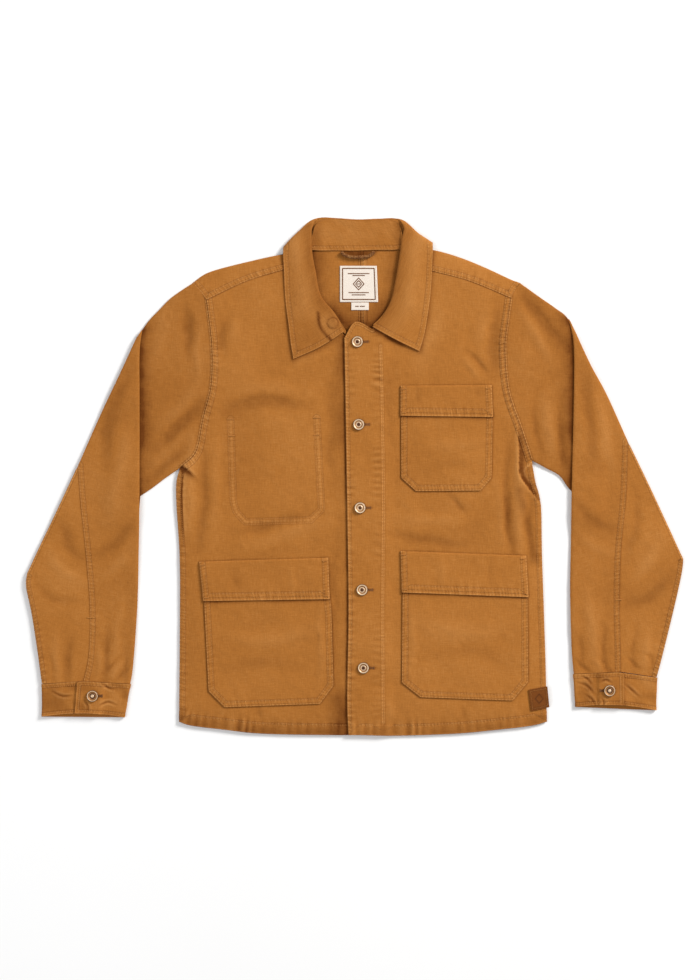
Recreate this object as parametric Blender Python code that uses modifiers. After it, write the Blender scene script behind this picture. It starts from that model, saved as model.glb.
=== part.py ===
"""Chore jacket of cotton canvas, laid flat with its front up.

The jacket lies on the plane z = 0 with its collar towards +Y. The wearer's right side is at -X.
Every piece of cloth is one sheet: a four-sided patch between its own cut edges, lifted by the
relief of what lies under it and given its wall. Sizes in the tables are millimetres.
"""

import math

import bmesh
import bpy

MM = 0.001

# Driving dimensions, in millimetres.
CANVAS = 1.2  # wall of one ply of canvas
DOUBLED = 1.6  # wall of the collar and cuffs, two plies pressed together
SEAM_GAP = 0.4  # clearance between pieces at a seam or one on another
BUTTON_RADIUS = 8.6
BUTTON_HEIGHT = 3.0
CUFF_TURN = 1.25  # radius at which the cuff turns over its two edges
LABEL_WALL = 1.0
LEATHER = 1.5
LOOP_RADIUS = 2.6
COLLAR_UNDERLAY = 2.2  # how far the turned collar lifts the neck of the back
MERGE = 0.05  # points of a turned piece nearer than this are one

# Cloth lying over cloth: height of a sheet's middle above the table.
FLOOR_LEVEL = CANVAS / 2
TOP_LEVEL = CANVAS + SEAM_GAP + CANVAS / 2
STEP = CANVAS + SEAM_GAP


# ---------------------------------------------------------------- curves and patches


def smooth(points, steps=8):
    """A Catmull-Rom curve through the points, as a dense line."""
    if len(points) < 3:
        return [tuple(map(float, p)) for p in points]
    ends = [points[0]] + list(points) + [points[-1]]
    line = []
    for a, b, c, d in zip(ends, ends[1:], ends[2:], ends[3:]):
        for step in range(steps):
            t = step / steps
            weights = (
                (-t + 2 * t**2 - t**3) / 2,
                (2 - 5 * t**2 + 3 * t**3) / 2,
                (t + 4 * t**2 - 3 * t**3) / 2,
                (-(t**2) + t**3) / 2,
            )
            line.append(tuple(sum(w * p[i] for w, p in zip(weights, (a, b, c, d))) for i in range(len(b))))
    return line + [tuple(map(float, points[-1]))]


def spread(line, count):
    """The line cut into this many equal lengths."""
    lengths = [math.dist(a, b) for a, b in zip(line, line[1:])]
    spots = [line[0]]
    for step in range(1, count):
        left = step / count * sum(lengths)
        for a, b, length in zip(line, line[1:], lengths):
            if left <= length:
                spots.append(tuple(p + (q - p) * left / length for p, q in zip(a, b)))
                break
            left -= length
    return spots + [line[-1]]


def rail(*runs):
    """One edge of a patch, as runs of (curve, cells) joined at corners. Neighbours share its points."""
    line = [tuple(map(float, runs[0][0][0]))]
    for curve, cells in runs:
        line += spread(smooth(curve), cells)[1:]
    return line


def at(line, share):
    """The point at this share of a line's cells."""
    place = min(max(share, 0.0), 1.0) * (len(line) - 1)
    index = min(int(place), len(line) - 2)
    return tuple(p + (q - p) * (place - index) for p, q in zip(line[index], line[index + 1]))


def patch(bottom, top, left, right):
    """A Coons patch: place(u, v) inside four edges that share their corners."""

    def place(u, v):
        low, high = at(bottom, u), at(top, u)
        start, end = at(left, v), at(right, v)
        return tuple(
            (1 - v) * low[i]
            + v * high[i]
            + (1 - u) * start[i]
            + u * end[i]
            - (1 - u) * (1 - v) * bottom[0][i]
            - u * (1 - v) * bottom[-1][i]
            - (1 - u) * v * top[0][i]
            - u * v * top[-1][i]
            for i in range(len(low))
        )

    return place


def ramp(value, start, end):
    """0 at start, 1 at end, smooth between."""
    t = min(1.0, max(0.0, (value - start) / (end - start)))
    return t * t * (3 - 2 * t)


# ---------------------------------------------------------------- the scene


def clear_scene():
    for obj in list(bpy.data.objects):
        bpy.data.objects.remove(obj)


def finish(name, colour, roughness, metallic=0.0):
    material = bpy.data.materials.new(name)
    material.use_nodes = True
    shader = material.node_tree.nodes["Principled BSDF"]
    shader.inputs["Base Color"].default_value = (*colour, 1)
    shader.inputs["Roughness"].default_value = roughness
    shader.inputs["Metallic"].default_value = metallic
    return material


def cloth(name, columns, rows, place, wall, material):
    """A sheet whose points are place(u, v), with a wall half on each side of it."""
    mesh = bpy.data.meshes.new(name)
    grid = bmesh.new()
    bmesh.ops.create_grid(grid, x_segments=columns, y_segments=rows, size=1)
    for vertex in grid.verts:
        spot = place((vertex.co.x + 1) / 2, (vertex.co.y + 1) / 2)
        vertex.co = [value * MM for value in spot]
    bmesh.ops.recalc_face_normals(grid, faces=grid.faces)
    grid.to_mesh(mesh)
    grid.free()
    mesh.materials.append(material)
    obj = bpy.data.objects.new(name, mesh)
    jacket.objects.link(obj)
    thicken = obj.modifiers.new("wall", "SOLIDIFY")
    thicken.thickness = wall * MM
    thicken.offset = 0
    return obj


INWARD_STEP = 0.02  # share of a patch over which its inward direction is taken
END_SHARE = 0.001  # nearer an end than this counts as on it


def quad(corners, columns, rows):
    """The four edges of a plain piece, from its corners: low left, low right, high right, high left."""
    low_left, low_right, high_right, high_left = corners
    return (
        rail(((low_left, low_right), columns)),
        rail(((high_left, high_right), columns)),
        rail(((low_left, high_left), rows)),
        rail(((low_right, high_right), rows)),
    )


def inward(share):
    """A short step towards the middle from either end, and none between them."""
    return INWARD_STEP * ((share < END_SHARE) - (share > 1 - END_SHARE))


def panel(name, edges, height, wall, material):
    """A cut piece lying on the jacket: its edges in plan, bottom, top, left, right, and its height."""
    bottom, top, left, right = edges
    flat = patch(bottom, top, left, right)

    def place(u, v):
        x, y = flat(u, v)
        for step_u, step_v in ((inward(u), 0), (0, inward(v))):
            if step_u or step_v:
                spot = flat(u + step_u, v + step_v)
                reach = math.dist((x, y), spot)
                x += (spot[0] - x) * SEAM_GAP / 2 / reach
                y += (spot[1] - y) * SEAM_GAP / 2 / reach
        return x, y, height(x, y)

    return cloth(name, len(bottom) - 1, len(left) - 1, place, wall, material)


# ---------------------------------------------------------------- relief

# The main soft folds: two ends, half width and rise, which is negative in a trough.
FOLDS = (
    # from, to, half width, rise
    ((-194, 110), (-63, 110), 22, -0.7),  # across the right chest
    ((-198, 238), (-195, 181), 22, -0.7),  # below the right shoulder
    ((212, 256), (212, 157), 22, -0.7),  # along the left armhole
    ((147, 220), (198, 154), 22, -0.6),  # towards the chest pocket's corner
    ((129, 265), (92, 145), 22, 0.7),  # from the collar's point down
    ((248, 67), (250, -125), 22, 0.7),  # below the left underarm
    ((-243, 70), (-249, -65), 22, 0.7),  # below the right underarm
    ((138, -35), (219, -95), 22, -0.6),  # between the left pockets
    ((-156, -95), (-36, -65), 22, 0.6),  # between the right pockets
    ((-171, -358), (-36, -359), 22, -0.5),  # above the hem, right
    ((69, -353), (219, -347), 22, -0.5),  # above the hem, left
    ((-252, 256), (-249, 181), 22, -0.7),  # right sleeve head
    ((-294, 43), (-231, 115), 22, -0.7),  # across the right sleeve head
    ((255, 271), (318, 196), 22, -0.7),  # left sleeve head
    ((286, 115), (297, 32), 22, 0.6),  # down the left sleeve head
)
FILL = 1.4  # how far the front stands off the back in the middle
FILL_EDGE = 42.0  # over which it comes down to the side seams
FOLD_AT_EDGE = 0.45  # share of a fold's relief that is left where the front has come down
DEEPEST_TROUGH = -0.25  # how far a fold may press the front below its own level
BODY_HALF = 274.0  # half the body's width
BODY_AXIS = 9.0  # the line midway between its sides
COLLAR_AXIS = 6.0  # the line midway across the collar
COLLAR_REACH = (112, 240)  # from its axis, over which the turned collar's underlay fades out
COLLAR_RISE = (190, 305)  # y over which the underlay comes up
HEM_RISE = (-395, -350)  # y over which the front comes up from the hem
LAP_REACH = (42, 66)  # x over which the left front comes down to its own level


def fold_rise(x, y):
    total = 0.0
    for (ax, ay), (bx, by), width, rise in FOLDS:
        span = (bx - ax) ** 2 + (by - ay) ** 2
        t = min(1.0, max(0.0, ((x - ax) * (bx - ax) + (y - ay) * (by - ay)) / span))
        away = math.hypot(x - ax - t * (bx - ax), y - ay - t * (by - ay))
        total += rise * math.exp(-((away / width) ** 2))
    return total


def underlay(x, y):
    """What the collar, turned down behind the neck, lifts the pieces over it."""
    across = 1 - ramp(abs(x - COLLAR_AXIS), *COLLAR_REACH)
    return COLLAR_UNDERLAY * across * ramp(y, *COLLAR_RISE)


def back_level(x, y):
    return FLOOR_LEVEL + underlay(x, y)


def front_level(x, y):
    """Middle of the fronts and of the sleeve heads beside them."""
    fill = FILL * (1 - ramp(abs(x - BODY_AXIS), BODY_HALF - FILL_EDGE, BODY_HALF + 30))
    fill *= ramp(y, *HEM_RISE)
    near = max(0.0, min(1.0, FOLD_AT_EDGE + fill / FILL))
    return TOP_LEVEL + underlay(x, y) + fill + max(DEEPEST_TROUGH, near * fold_rise(x, y))


def lap_level(x, y):
    """The left front, which laps over the right one along the button edge."""
    return front_level(x, y) + STEP * (1 - ramp(x, *LAP_REACH))


# ---------------------------------------------------------------- cut edges, in plan

# The body. The right side is at -X; its armhole starts at the underarm.
HEM_RIGHT = ((-262, -368), (-244, -374), (-194, -380), (-138, -386), (-40, -388), (15, -388))
HEM_LEFT = ((15, -388), (66, -389), (153, -386), (216, -380), (267, -374), (289, -368))
SIDE_RIGHT = ((-262, -368), (-261, -245), (-261, -128), (-266, -43), (-266, -8), (-260, 14))
SIDE_LEFT = ((289, -368), (287, -275), (282, -125), (280, -43), (272, -8), (266, 25))
ARM_RIGHT = ((-260, 14), (-237, 37), (-226, 88), (-214, 137), (-213, 197), (-221, 265))
ARM_LEFT = ((266, 25), (250, 73), (231, 130), (226, 194), (230, 232), (235, 268))
TIP_RIGHT = ((-221, 265), (-231, 278), (-242, 290))
TIP_LEFT = ((235, 268), (242, 280), (249, 290))
TOP_RIGHT = ((-242, 290), (-216, 307), (-146, 325), (-102, 334), (-75, 338))
TOP_LEFT = ((87, 340), (116, 340), (154, 330), (195, 314), (234, 296), (249, 290))
NECK_BACK_RIGHT = ((-75, 338), (-36, 338), (15, 338))
NECK_BACK_LEFT = ((15, 338), (54, 338), (87, 340))
SHOULDER_RIGHT = ((-221, 265), (-164, 292), (-106, 310), (-78, 317))
SHOULDER_LEFT = ((87, 317), (118, 308), (174, 293), (235, 268))
NECK_FRONT_RIGHT = ((-78, 317), (-72, 292), (-60, 260), (-40, 235), (-14, 212))
NECK_FRONT_LEFT = ((87, 317), (81, 295), (70, 268), (54, 244), (28, 221))
CENTRE_BACK = (15, 338)
BUTTON_EDGE = ((-8, -388), (-10, -331), (-8, -212), (-9, -107), (-12, 85), (-14, 208))
LAP_TOP = ((-14, 208), (2, 232), (28, 221))
HIDDEN_EDGE = ((40, -388), (40, -215), (39, -5), (36, 190))

# The right sleeve, then the left one. Outer is the side away from the body.
SLEEVES = {
    "right": {
        "head_top": ((-242, 290), (-273, 269), (-292, 250), (-309, 232), (-327, 205)),
        "head_hidden": ((-352, -50), (-352, 25), (-350, 115), (-327, 205)),
        "head_under": ((-352, -50), (-324, -31), (-303, -17), (-282, -1), (-260, 14)),
        "fold": (
            (-336, -311),
            (-332, -286),
            (-327, -218),
            (-324, -136),
            (-322, -34),
            (-322, 115),
            (-324, 200),
        ),
        "crown": ((-333, 196), (-352, 152), (-381, 91), (-414, 16)),
        "crown_top": ((-333, 196), (-324, 200)),
        "seam": ((-406, -307), (-398, -269), (-396, -200), (-402, -118), (-410, -40), (-414, 16)),
        "elbow": ((-417, 10), (-448, -56), (-474, -110), (-490, -145)),
        "peak": ((-417, 10), (-414, 16)),
        "forearm": ((-490, -145), (-492, -164), (-484, -203), (-476, -253), (-468, -311)),
        "under_edge": ((-336, -311), (-327, -218), (-324, -136), (-324, -31)),
        "wrist_outer": (-468, -311),
        "wrist_seam": (-406, -307),
        "wrist_inner": (-336, -311),
    },
    "left": {
        "head_top": ((249, 290), (280, 268), (303, 252), (320, 238), (327, 214)),
        "head_hidden": ((357, -35), (357, 40), (351, 130), (327, 214)),
        "head_under": ((357, -35), (327, -22), (309, 1), (286, 14), (266, 25)),
        "fold": ((330, -296), (327, -260), (325, -185), (326, -95), (327, -22), (330, 115), (330, 223)),
        "crown": ((334, 205), (354, 169), (380, 121), (411, 52)),
        "crown_top": ((330, 223), (334, 205)),
        "seam": ((400, -293), (399, -245), (398, -185), (400, -113), (408, -28), (411, 52)),
        "elbow": ((414, 46), (446, -20), (472, -76), (494, -124)),
        "peak": ((414, 46), (411, 52)),
        "forearm": ((494, -124), (492, -143), (483, -185), (468, -247), (454, -301)),
        "under_edge": ((330, -296), (325, -185), (326, -95), (327, -22)),
        "wrist_outer": (454, -301),
        "wrist_seam": (400, -293),
        "wrist_inner": (330, -296),
    },
}


# ---------------------------------------------------------------- body

# Cells along the edges that two pieces share, and across the rest.
SIDE_CELLS = 17
ARM_CELLS = 11
TIP_CELLS = 2
SHOULDER_CELLS = 6
NECK_CELLS = 5
LAP_CELLS = 2
BODY_CELLS = SHOULDER_CELLS + NECK_CELLS + LAP_CELLS
BODY_ROWS = SIDE_CELLS + ARM_CELLS


def make_body():
    centre = rail(((HEM_LEFT[0], CENTRE_BACK), BODY_ROWS + TIP_CELLS))
    outer = rail((SIDE_RIGHT, SIDE_CELLS), (ARM_RIGHT, ARM_CELLS), (TIP_RIGHT, TIP_CELLS))
    top = rail((TOP_RIGHT, SHOULDER_CELLS), (NECK_BACK_RIGHT, 3))
    panel("back_right", (rail((HEM_RIGHT, 9)), top, outer, centre), back_level, CANVAS, canvas)
    outer = rail((SIDE_LEFT, SIDE_CELLS), (ARM_LEFT, ARM_CELLS), (TIP_LEFT, TIP_CELLS))
    top = rail((NECK_BACK_LEFT, 3), (TOP_LEFT, SHOULDER_CELLS))
    panel("back_left", (rail((HEM_LEFT, 9)), top, centre, outer), back_level, CANVAS, canvas)

    hem = rail((HEM_RIGHT + HIDDEN_EDGE[:1], BODY_CELLS))
    lap = (NECK_FRONT_RIGHT[-1], HIDDEN_EDGE[-1])
    top = rail((SHOULDER_RIGHT, SHOULDER_CELLS), (NECK_FRONT_RIGHT, NECK_CELLS), (lap, LAP_CELLS))
    outer = rail((SIDE_RIGHT, SIDE_CELLS), (ARM_RIGHT, ARM_CELLS))
    panel("front_right", (hem, top, outer, rail((HIDDEN_EDGE, BODY_ROWS))), front_level, CANVAS, canvas)

    hem = rail((BUTTON_EDGE[:1] + HEM_LEFT, BODY_CELLS))
    top = rail((LAP_TOP, LAP_CELLS), (NECK_FRONT_LEFT[::-1], NECK_CELLS), (SHOULDER_LEFT, SHOULDER_CELLS))
    outer = rail((SIDE_LEFT, SIDE_CELLS), (ARM_LEFT, ARM_CELLS))
    panel("front_left", (hem, top, rail((BUTTON_EDGE, BODY_ROWS)), outer), lap_level, CANVAS, canvas)


def strip_level(seam, outline):
    """Height of a shoulder strip: level with the front at the seam, close to the back at the fold."""

    def height(x, y):
        low = next((b[1] for a, b in zip(seam, seam[1:]) if a[0] <= x <= b[0]), seam[-1][1])
        high = next((b[1] for a, b in zip(outline, outline[1:]) if a[0] <= x <= b[0]), outline[0][1])
        share = min(1.0, max(0.0, (y - low) / max(1.0, high - low)))
        return front_level(x, y) + share * (back_level(x, y) + STEP - front_level(x, y))

    return height


def make_shoulders():
    """The back's forward shoulders: the strips that come over the fold to meet the fronts."""
    seam, outline = rail((SHOULDER_RIGHT, SHOULDER_CELLS)), rail((TOP_RIGHT, SHOULDER_CELLS))
    inner = rail(((SHOULDER_RIGHT[-1], TOP_RIGHT[-1]), TIP_CELLS))
    level = strip_level(seam, outline)
    panel("shoulder_right", (seam, outline, rail((TIP_RIGHT, TIP_CELLS)), inner), level, CANVAS, canvas)
    seam, outline = rail((SHOULDER_LEFT, SHOULDER_CELLS)), rail((TOP_LEFT, SHOULDER_CELLS))
    inner = rail(((SHOULDER_LEFT[0], TOP_LEFT[0]), TIP_CELLS))
    level = strip_level(seam, outline)
    panel("shoulder_left", (seam, outline, inner, rail((TIP_LEFT, TIP_CELLS))), level, CANVAS, canvas)


# ---------------------------------------------------------------- sleeves

HEAD_REACH = (357, 385)  # |x| to which the sleeve head lies under the sleeve, and where its step ends
HEAD_END = (-95, -54)  # y below which there is no head under the sleeve
SLEEVE_FILL = 0.3


def sleeve_level(x, y):
    over = (1 - ramp(abs(x), *HEAD_REACH)) * ramp(y, *HEAD_END)
    return TOP_LEVEL + SLEEVE_FILL + STEP * over


def floor_level(x, y):
    return FLOOR_LEVEL


def make_sleeve(side, cut, armhole, tip):
    """One sleeve, tucked where it turns down: head, top panel, elbow panel and the under layer."""

    def add(piece, bottom, top, outer, inner, level):
        """The outer edge starts a row on the right sleeve, and ends it on the left one."""
        if side == "left":
            bottom, top, outer, inner = bottom[::-1], top[::-1], inner, outer
        panel(f"sleeve_{side}_{piece}", (bottom, top, outer, inner), level, CANVAS, canvas)

    armhole = rail((armhole, ARM_CELLS), (tip, TIP_CELLS))
    head_rows = ARM_CELLS + TIP_CELLS
    hidden = rail((cut["head_hidden"], head_rows))
    head_top = rail((cut["head_top"][::-1], 6))
    add("head", rail((cut["head_under"], 6)), head_top, hidden, armhole, front_level)

    wrist = rail(((cut["wrist_seam"], cut["wrist_inner"]), 6))
    outer = rail((cut["seam"], 12), (cut["crown"][::-1], 8))
    add("top", wrist, rail((cut["crown_top"], 6)), outer, rail((cut["fold"], 20)), sleeve_level)

    wrist = rail(((cut["wrist_outer"], cut["wrist_seam"]), 4))
    outer = rail((cut["forearm"][::-1], 5), (cut["elbow"][::-1], 7))
    peak = rail((cut["peak"], 4))
    add("elbow", wrist, peak, outer, rail((cut["seam"], 12)), sleeve_level)

    elbow_wrist = (cut["wrist_outer"], cut["wrist_seam"])
    wrist = rail((elbow_wrist, 6), ((cut["wrist_seam"], cut["wrist_inner"]), 7))
    crown = cut["peak"] + cut["crown"][::-1][1:]
    outer = rail((cut["forearm"][::-1], 5), (cut["elbow"][::-1], 6), (crown, 6), (cut["head_top"][::-1], 5))
    inner = rail((cut["under_edge"], 12), (cut["head_under"][1:], 10))
    add("under", wrist, armhole[::-1], outer, inner, floor_level)


# ---------------------------------------------------------------- cuffs

CUFF_LOW = DOUBLED / 2
CUFF_HIGH = CUFF_LOW + 2 * CUFF_TURN
CUFF_LAP = CUFF_HIGH + DOUBLED + SEAM_GAP
SEAM_SHARE = 0.47  # where the sleeve seam meets the cuff, from the outer to the inner edge
CUFFS = {
    "right": {
        "wrist": (-468.0, -336.0),  # x of the outer and inner edges at the wrist
        "mouth": (-468.0, -345.0),  # x of the same edges at the mouth
        "top": (-311.7, -307.2, -311.7),  # y of the wrist at the outer edge, the seam and the inner edge
        "foot": (-360.5, -361.5),  # y of the mouth at the outer and inner edges
    },
    "left": {
        "wrist": (454.5, 330.0),
        "mouth": (453.0, 333.0),
        "top": (-301.9, -293.7, -296.7),
        "foot": (-351.0, -346.0),
    },
}
# The band's own path round the wrist: share of the way from the outer to the inner edge, and height.
CUFF_PATH = (
    (0.50, CUFF_HIGH),
    (0.25, CUFF_HIGH),
    (0.015, CUFF_HIGH),
    (0.0, CUFF_LOW + CUFF_TURN),
    (0.015, CUFF_LOW),
    (0.33, CUFF_LOW),
    (0.67, CUFF_LOW),
    (0.985, CUFF_LOW),
    (1.0, CUFF_LOW + CUFF_TURN),
    (0.985, CUFF_HIGH),
    (0.85, CUFF_HIGH),
    (0.74, CUFF_HIGH),
    (0.67, CUFF_LAP),
    (0.55, CUFF_LAP),
    (0.42, CUFF_LAP),
)


def make_cuff(side, size):
    """A band of doubled cloth wound once round the wrist, its end lapped over its start."""

    def place(u, v):
        share, height = CUFF_PATH[round(u * (len(CUFF_PATH) - 1))]
        outer = size["wrist"][0] + v * (size["mouth"][0] - size["wrist"][0])
        inner = size["wrist"][1] + v * (size["mouth"][1] - size["wrist"][1])
        start, seam, end = size["top"]
        if share < SEAM_SHARE:
            wrist = start + share / SEAM_SHARE * (seam - start)
        else:
            wrist = seam + (share - SEAM_SHARE) / (1 - SEAM_SHARE) * (end - seam)
        foot = size["foot"][0] + share * (size["foot"][1] - size["foot"][0])
        return outer + share * (inner - outer), wrist + v * (foot - wrist), height

    cloth(f"cuff_{side}", len(CUFF_PATH) - 1, 3, place, DOUBLED, canvas)


# ---------------------------------------------------------------- collar

# The inner collar, from the neck seam up to its roll: right front, round the neck, left front.
STAND = (
    # neck seam, roll
    ((-13, 214, 5.4), (-12, 218, 5.6)),
    ((-38, 236, 5.7), (-28, 243, 6.0)),
    ((-58, 263, 6.0), (-50, 271, 6.3)),
    ((-69, 290, 6.2), (-58, 307, 6.5)),
    ((-74, 316, 6.2), (-63, 340, 6.4)),
    ((-72, 332, 6.0), (-62, 358, 5.8)),
    ((-64, 339, 5.2), (-60, 373, 4.6)),
    ((-51, 339, 4.0), (-50, 384, 3.4)),
    ((-27, 339, 3.4), (-27, 386, 3.4)),
    ((4, 339, 3.4), (4, 383, 3.4)),
    ((36, 340, 3.4), (36, 384, 3.4)),
    ((60, 340, 4.0), (62, 383, 3.4)),
    ((74, 341, 5.2), (70, 371, 4.6)),
    ((82, 332, 6.0), (70, 358, 5.8)),
    ((84, 316, 6.2), (70, 340, 6.4)),
    ((78, 295, 6.2), (64, 302, 6.5)),
    ((68, 268, 6.0), (56, 265, 6.3)),
    ((51, 245, 6.6), (42, 241, 6.8)),
    ((30, 225, 7.2), (29, 228, 7.2)),
)
# The collar's fall, from its roll to its outer edge: on the fronts, and turned under behind the neck.
FALL = (
    # roll, middle, outer edge
    ((-15, 217, 8.0), (-51, 194, 7.8), (-91, 176, 6.4)),
    ((-28, 243, 8.4), (-64, 223, 8.8), (-95, 200, 6.6)),
    ((-50, 271, 8.7), (-76, 254, 9.2), (-98, 226, 6.8)),
    ((-58, 307, 8.9), (-82, 293, 9.4), (-103, 266, 7.2)),
    ((-64, 340, 8.8), (-86, 329, 9.2), (-105, 307, 7.8)),
    ((-64, 358, 8.2), (-93, 349, 8.2), (-106, 337, 6.8)),
    ((-63, 374, 7.2), (-82, 368, 5.4), (-102, 345, 0.8)),
    ((-53, 388, 1.6), (-63, 379, 1.0), (-78, 329, 0.8)),
    ((-27, 388, 1.5), (-28, 361, 0.8), (-30, 323, 0.8)),
    ((4, 386, 1.5), (4, 358, 0.8), (4, 320, 0.8)),
    ((36, 387, 1.5), (38, 361, 0.8), (39, 323, 0.8)),
    ((64, 387, 1.6), (74, 379, 1.0), (88, 331, 0.8)),
    ((75, 374, 7.2), (94, 366, 5.4), (114, 350, 0.8)),
    ((72, 358, 8.2), (104, 352, 8.2), (118, 344, 6.8)),
    ((70, 340, 8.8), (93, 331, 9.2), (117, 311, 7.8)),
    ((64, 302, 8.9), (90, 292, 9.4), (115, 277, 7.2)),
    ((56, 265, 8.7), (82, 251, 9.2), (110, 239, 6.8)),
    ((42, 239, 9.0), (74, 224, 8.8), (105, 211, 6.6)),
    ((28, 224, 9.4), (63, 205, 8.4), (98, 188, 6.4)),
)


def loft(stations):
    """place(u, v) through stations of a few points each: u runs along them, v across."""
    lines = [smooth([row[i] for row in stations]) for i in range(len(stations[0]))]

    def place(u, v):
        x, y, z = at(smooth([at(line, u) for line in lines]), v)
        return x, y, max(z, DOUBLED / 2)

    return place


def make_collar():
    cloth("collar_stand", 44, 3, loft(STAND), DOUBLED, canvas)
    cloth("collar_fall", 44, 6, loft(FALL), DOUBLED, canvas)


# ---------------------------------------------------------------- pockets

# Patches on the fronts: four corners' worth of edges, from the mouth's left end round to its right.
POCKETS = {
    "pocket_chest_left": {
        "left": ((71, 91), (71, -2)),
        "foot": ((71, -2), (93, -22), (190, -21), (206, -2)),
        "right": ((206, -2), (208, 88)),
        "band": ((71, 91), (207, 90), (206, 137), (70, 136)),
        "grid": (6, 5),
    },
    "pocket_lower_right": {
        "left": ((-225, -188), (-218, -322)),
        "foot": ((-218, -322), (-194, -346), (-51, -341), (-31, -314)),
        "right": ((-31, -314), (-34, -205), (-37, -185)),
        "band": ((-225, -186), (-37, -183), (-39, -122), (-232, -128)),
        "grid": (9, 7),
    },
    "pocket_lower_left": {
        "left": ((73, -176), (72, -309)),
        "foot": ((72, -309), (100, -331), (238, -336), (261, -308)),
        "right": ((261, -308), (260, -182)),
        "band": ((73, -174), (260, -180), (258, -119), (70, -112)),
        "grid": (9, 7),
    },
}
PATCH_RISE = CANVAS + SEAM_GAP


def patch_level(front):
    return lambda x, y: front(x, y) + PATCH_RISE


def make_pockets():
    """Patch pockets with a wide turned hem across the mouth, each hem a node of its own."""
    for name, cut in POCKETS.items():
        columns, rows = cut["grid"]
        level = patch_level(front_level if name.endswith("right") else lap_level)
        left_foot, low_left, low_right, right_foot = cut["foot"]
        level_run = ((low_left, low_right), columns - 2)
        foot = rail(((left_foot, low_left), 1), level_run, ((low_right, right_foot), 1))
        mouth = rail(((cut["left"][0], cut["right"][-1]), columns))
        edges = (foot, mouth, rail((cut["left"][::-1], rows)), rail((cut["right"], rows)))
        panel(name, edges, level, CANVAS, canvas)
        panel(f"{name}_hem", quad(cut["band"], columns, 3), level, CANVAS, canvas)


# ---------------------------------------------------------------- labels, loop and tab

LABEL = ((-21, 262), (36, 262), (34, 316), (-21, 316))
SIZE_TAB = ((-4, 250), (22, 250), (22, 261), (-4, 261))
LEATHER_TAB = ((266, -352), (293, -346), (290, -315), (262, -320))
LOOP = ((-18, 337, 6.4), (-12, 332, 6.5), (-2, 332, 6.7), (10, 332, 6.7), (22, 332, 6.5), (30, 337, 6.4))


def make_labels():
    def label_level(x, y):
        return back_level(x, y) + CANVAS / 2 + SEAM_GAP + LABEL_WALL / 2

    def tab_level(x, y):
        return front_level(x, y) + CANVAS / 2 + SEAM_GAP + LEATHER / 2

    panel("neck_label", quad(LABEL, 5, 5), label_level, LABEL_WALL, woven)
    panel("size_label", quad(SIZE_TAB, 3, 2), label_level, LABEL_WALL, woven)
    panel("hem_tab", quad(LEATHER_TAB, 3, 3), tab_level, LEATHER, leather)


def make_loop():
    curve = bpy.data.curves.new("hanger_loop", "CURVE")
    curve.dimensions = "3D"
    curve.bevel_depth = LOOP_RADIUS * MM
    curve.bevel_resolution = 2
    curve.use_fill_caps = True
    route = smooth(LOOP, 3)
    spline = curve.splines.new("POLY")
    spline.points.add(len(route) - 1)
    for point, spot in zip(spline.points, route):
        point.co = (*(value * MM for value in spot), 1)
    curve.materials.append(cord)
    obj = bpy.data.objects.new("hanger_loop", curve)
    jacket.objects.link(obj)


# ---------------------------------------------------------------- buttons

# Profile of a ring-topped tack button: share of its radius, share of its height, top to bottom.
BUTTON_PROFILE = (
    (0.0, 0.62),
    (0.24, 0.62),
    (0.34, 0.3),
    (0.56, 0.45),
    (0.74, 0.97),
    (0.9, 0.97),
    (1.0, 0.6),
    (0.93, 0.0),
    (0.0, 0.0),
)
BUTTONS = {
    "button_1": (5, 202),
    "button_2": (7, 78),
    "button_3": (9, -47),
    "button_4": (12, -170),
    "button_5": (14, -287),
}
CUFF_BUTTONS = {"button_cuff_right": (-392, -329), "button_cuff_left": (383, -321)}


RIM_SPOTS = 8
BUTTON_SIDES = 20


def button_seat(x, y):
    """Height of the cloth's highest point under a button."""
    angles = [step * math.tau / RIM_SPOTS for step in range(RIM_SPOTS)]
    rim = [(x + BUTTON_RADIUS * math.cos(turn), y + BUTTON_RADIUS * math.sin(turn)) for turn in angles]
    return max(lap_level(*spot) for spot in rim) + CANVAS / 2


def make_buttons():
    seats = {name: (x, y, button_seat(x, y)) for name, (x, y) in BUTTONS.items()}
    for name, (x, y) in CUFF_BUTTONS.items():
        seats[name] = (x, y, CUFF_LAP + DOUBLED / 2)
    mesh = bpy.data.meshes.new("button")
    spots = [(r * BUTTON_RADIUS * MM, 0, h * BUTTON_HEIGHT * MM) for r, h in BUTTON_PROFILE]
    mesh.from_pydata(spots, [(i, i + 1) for i in range(len(spots) - 1)], [])
    mesh.materials.append(brass)
    for name, (x, y, seat) in seats.items():
        obj = bpy.data.objects.new(name, mesh)
        obj.location = (x * MM, y * MM, (seat + SEAM_GAP) * MM)
        jacket.objects.link(obj)
        turn = obj.modifiers.new("turned", "SCREW")
        turn.steps = BUTTON_SIDES
        turn.render_steps = BUTTON_SIDES
        turn.use_merge_vertices = True
        turn.merge_threshold = MERGE * MM
        turn.use_smooth_shade = True


# ---------------------------------------------------------------- the jacket

clear_scene()
jacket = bpy.data.collections.new("chore_jacket")
bpy.context.scene.collection.children.link(jacket)
canvas = finish("canvas", (0.48, 0.185, 0.04), 0.9)
woven = finish("woven_label", (0.86, 0.78, 0.68), 0.85)
leather = finish("leather", (0.22, 0.08, 0.02), 0.6)
cord = finish("cord", (0.2, 0.07, 0.015), 0.8)
brass = finish("brass", (0.3, 0.16, 0.07), 0.4, 0.9)

make_body()
make_shoulders()
make_sleeve("right", SLEEVES["right"], ARM_RIGHT, TIP_RIGHT)
make_sleeve("left", SLEEVES["left"], ARM_LEFT, TIP_LEFT)
for side, size in CUFFS.items():
    make_cuff(side, size)
make_collar()
make_pockets()
make_labels()
make_loop()
make_buttons()
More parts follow.
